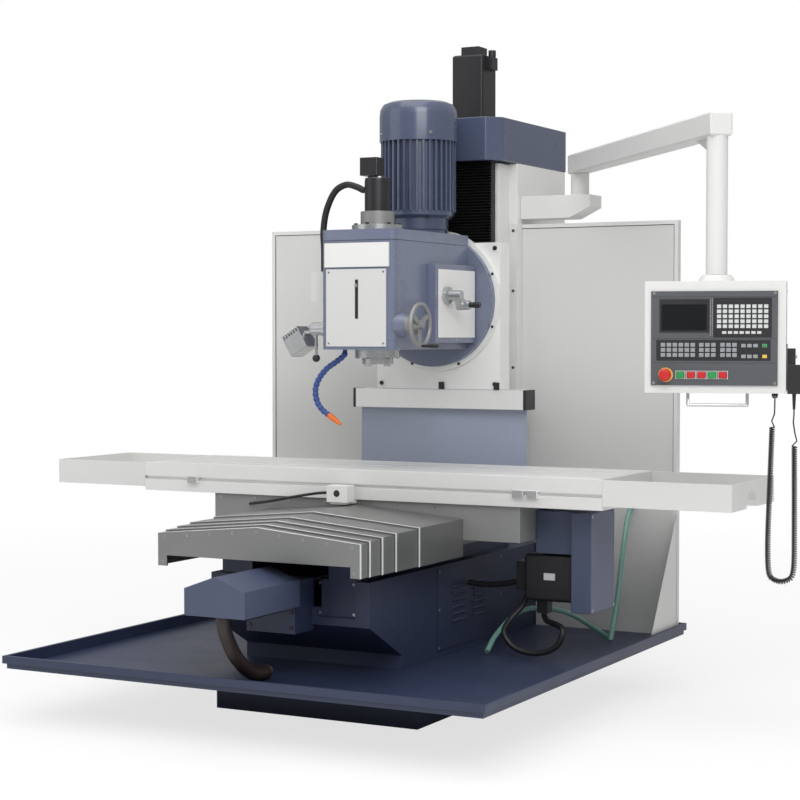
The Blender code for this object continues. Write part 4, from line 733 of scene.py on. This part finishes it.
# Details on the bed, saddle and column
def cover_edges():
    """Wiper strip on the front edge of each telescopic element, its steel painted near-white as a highlight
    along the edge.
    """
    low, grow = 0.5885, 0.0007
    for k, front in enumerate(COVER_FRONTS):
        side = COVER_HALF + COVER_STEP * k + grow
        eave = COVER_EAVE + COVER_STEP * k
        outer = [(side, low), (side, eave), (0, eave + COVER_RISE + grow), (-side, eave), (-side, low)]
        inner = [(x * 0.997, z - 0.0012) for x, z in outer]
        shape = Shape()
        ring = outer + list(reversed(inner))
        shape.outline([(x, front, z) for x, z in ring], (0, 0.009, 0))
        shape.piece(f"cover_edge_{k}", [EDGE_STEEL_HIGHLIGHT], BODY_OF[f"way_cover_{k}"])


def cover_screws():
    """Screws along the front sheet of the telescopic cover."""
    shape = Shape()
    front = COVER_FRONTS[0]
    count = 9
    for i in range(count):
        x = -0.385 + 0.77 * i / (count - 1)
        z = COVER_EAVE + COVER_RISE * (1 - abs(x) / COVER_HALF) - 0.016
        shape.screw((x, front, z), "Y", 0.005, -0.002, 0, 1)
    for x in (-0.395, 0.395):
        shape.screw((x, front, 0.604), "Y", 0.005, -0.002, 0, 1)
    shape.piece("cover_front_screws", [STEEL, BLACK], "bed")


def bed_details():
    """Screws of the bed's plates and the round cover on its side."""
    shape = Shape()
    for y in (-0.132, 0.418):
        for z in (0.232, 0.378, 0.523):
            shape.screw((BED_SIDE, y, z), "X", 0.0055, 0.0022, 0, 1)
    shape.ring((0.3333, -0.482, 0.41), "X", 0.055, 0.053, 40, (0.0004, 0, 0), 2)
    for x in (0.125, 0.263):
        for z in (0.425, 0.532):
            shape.screw((x, -0.658, z), "Y", 0.005, -0.002, 0, 1)
    for x in (-0.085, 0.085):
        for z in (0.385, 0.438):
            shape.screw((x, -0.794, z), "Y", 0.008, -0.004, 1)
    shape.piece("bed_fasteners", [STEEL, BLACK, MOTOR_BLUE], "bed")


def saddle_details():
    """Screws of the saddle and drive housing, the switch and its cable, the motor's bare label."""
    shape = Shape()
    for i in range(9):
        x = -0.64 + 0.16 * i
        shape.screw((x, SADDLE_FRONT, 0.768), "Y", 0.0055, -0.0025, 1, 0)
    for y in (-0.02, 0.19):
        for z in (0.400, 0.748):
            shape.screw((0.910, y, z), "X", 0.006, 0.003, 1, 0)
    shape.disc((-0.050, -0.235, 0.812), "Y", 0.013, -0.0012, 0, 24)
    shape.disc((-0.050, -0.2362, 0.812), "Y", 0.006, -0.0010, 2, 18)
    shape.box((0.703, 0.0098, 0.499), (0.748, 0.0112, 0.525), 3)
    shape.piece("saddle_fasteners", [BLACK, STEEL, DARK, KEY_PALE], "saddle")
    route = [
        (-0.096, -0.205, 0.812), (-0.16, -0.207, 0.806), (-0.28, -0.195, 0.785), (-0.40, -0.170, 0.762),
        (-0.50, -0.142, 0.747),
    ]
    cable = curve_piece("switch_cable", smooth_route(route, 40), 0.0055, RUBBER)
    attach(cable, "saddle")


def column_details():
    """Fasteners of the slide, flanges of the splash panels, fittings of the Z motor."""
    shape = Shape()
    for x in (-0.262, 0.262):
        for z in (1.215, 1.77):
            shape.screw((x, SLIDE_FRONT, z), "Y", 0.009, -0.006, 0)
    for i in range(8):
        a = math.pi / 8 + i * math.pi / 4
        shape.screw((0.281 * math.cos(a), 0.50, SWIVEL_Z + 0.281 * math.sin(a)), "Y", 0.006, -0.003, 0)
    for side in (-1, 1):
        cap = sorted((side * 0.4005, side * 0.388))
        shape.box((cap[0], 0.5195, 1.1108), (cap[1], 0.6125, 1.1922), 0)
    for x in (0.020, 0.271):
        shape.box((x - 0.012, 0.513, 1.192), (x + 0.012, 0.5205, 1.222), 0)
    shape.piece("slide_fasteners", [BLACK], "slide", 0.0006)
    flanges = Shape()
    for side in (-1, 1):
        across = sorted((side * 0.238, side * 0.2695))
        flanges.box((across[0], 0.7172, 0.620), (across[1], 0.7202, 1.878), 0)
        for z in (0.90, 1.28, 1.60, 1.85):
            flanges.screw((side * 0.254, 0.7172, z), "Y", 0.006, -0.003, 1)
    flanges.piece("panel_flanges", [PANEL_GREY, DARK], "bed")
    motor = Shape()
    motor.box((-0.078, 0.789, 2.3075), (0.078, 0.945, 2.322), 0)
    motor.box((0.0715, 0.838, 2.545), (0.098, 0.896, 2.598), 0)
    motor.disc((0.085, 0.867, 2.598), "Z", 0.016, 0.030, 0, 16)
    motor.piece("z_motor_fittings", [BLACK], "bed", 0.0015)


def panel_borders():
    """Folded edges of the splash panels, in the lighter pale as a painted highlight, with a painted shadow
    line beside them.
    """
    front = PANEL_FACE
    for side, name in ((-1, "left"), (1, "right")):
        shape = Shape()
        near, far, top, low = 0.2705, 0.957, 1.878, 0.246
        fold, line = 0.016, 0.019
        bars = [
            ((near, top - fold), (far, top), 0), ((far - fold, low), (far, top - fold), 0),
            # Index 0 folds take the lighter pale as painted highlight; index 1 bars are painted shadow
            # beside the folds.
            ((near, top - line), (far - fold, top - fold), 1),
            ((far - line, 0.71), (far - fold, top - fold), 1),
        ]
        for (x0, z0), (x1, z1), index in bars:
            xs = sorted((side * x0, side * x1))
            depth = 0.003 if index == 0 else 0.0006
            shape.box((xs[0], front - depth, z0), (xs[1], front + 0.0004, z1), index)
        shape.piece(f"panel_border_{name}", [PALE, DARK], "bed")


# Stage
def make_camera():
    data = bpy.data.cameras.new("camera")
    data.lens = CAMERA_LENS
    data.sensor_width = 36
    data.clip_end = 60
    camera = bpy.data.objects.new("camera", data)
    bpy.context.scene.collection.objects.link(camera)
    camera.location = CAMERA_PLACE
    camera.rotation_euler = (math.radians(90 - CAMERA_DIP), 0, math.radians(CAMERA_TURN))
    bpy.context.scene.camera = camera


def area_light(name, place, aim, size, power):
    data = bpy.data.lights.new(name, "AREA")
    data.size = size
    data.energy = power
    light = bpy.data.objects.new(name, data)
    bpy.context.scene.collection.objects.link(light)
    light.location = place
    light.rotation_euler = (Vector(aim) - Vector(place)).to_track_quat("-Z", "Y").to_euler()


def make_world():
    """White to the camera. As a light it is dimmer, and brightest overhead."""
    world = bpy.data.worlds.new("studio")
    bpy.context.scene.world = world
    world.use_nodes = True
    tree = world.node_tree
    path = add_node(tree, "ShaderNodeLightPath")
    heading = add_node(tree, "ShaderNodeTexCoord").outputs["Generated"]
    height = add_node(tree, "ShaderNodeSeparateXYZ", {"Vector": heading}).outputs["Z"]
    rise = {"Value": height, "From Min": -0.1, "From Max": 0.9, "To Min": 0.24, "To Max": 0.85}
    sky = add_node(tree, "ShaderNodeMapRange", rise).outputs[0]
    choice = {"Value": path.outputs["Is Camera Ray"], "To Min": sky, "To Max": 1.0}
    strength = add_node(tree, "ShaderNodeMapRange", choice)
    background = tree.nodes["Background"]
    background.inputs["Color"].default_value = (1, 1, 1, 1)
    tree.links.new(strength.outputs[0], background.inputs["Strength"])


def make_floor():
    """Pale floor, nearly white to the camera, that keeps a soft shadow."""
    bm = bmesh.new()
    bmesh.ops.create_grid(bm, x_segments=1, y_segments=1, size=30)
    data = bpy.data.meshes.new("floor")
    bm.to_mesh(data)
    bm.free()
    floor = bpy.data.objects.new("floor", data)
    bpy.context.scene.collection.objects.link(floor)
    made = bpy.data.materials.new("floor_pale")
    made.use_nodes = True
    tree = made.node_tree
    surface = tree.nodes["Principled BSDF"]
    surface.inputs["Base Color"].default_value = (0.88, 0.88, 0.88, 1)
    surface.inputs["Roughness"].default_value = 0.8
    glow = add_node(tree, "ShaderNodeEmission", {"Strength": 1.0})
    path = add_node(tree, "ShaderNodeLightPath")
    place = add_node(tree, "ShaderNodeTexCoord").outputs["Object"]
    away = add_node(tree, "ShaderNodeVectorMath", {0: place})
    away.operation = "LENGTH"
    fade = {"Value": away.outputs["Value"], "From Min": 2.0, "From Max": 7.0, "To Min": 0.72, "To Max": 1.0}
    fading = add_node(tree, "ShaderNodeMapRange", fade)
    share = add_node(tree, "ShaderNodeMath", {0: path.outputs["Is Camera Ray"], 1: fading.outputs[0]})
    share.operation = "MULTIPLY"
    blend = {0: share.outputs[0], 1: surface.outputs[0], 2: glow.outputs[0]}
    mixed = add_node(tree, "ShaderNodeMixShader", blend)
    tree.links.new(mixed.outputs[0], tree.nodes["Material Output"].inputs["Surface"])
    data.materials.append(made)


make_camera()
bpy.context.scene.view_settings.view_transform = "Standard"
pendant_cord()
bed_and_saddle_cords()
head_cords()
x_conduit()
bellows()
dress_bed()
dress_saddle_and_table()
dress_column()
dress_head()
dress_pendant()
head_seam()
head_screws()
fan_cover_screws()
lamp_glass()
pendant_face()
pendant_trim()
arm_details()
cover_edges()
cover_screws()
bed_details()
saddle_details()
column_details()
panel_borders()
make_world()
area_light("key", (3.5, -4.5, 4.6), (0, 0, 1.1), 3.5, 200)
area_light("fill", (-4.5, -4.0, 3.2), (0, 0, 1.2), 4.0, 38)
area_light("top", (0.0, -1.0, 5.5), (0, 0.2, 1.0), 4.0, 85)
make_floor()
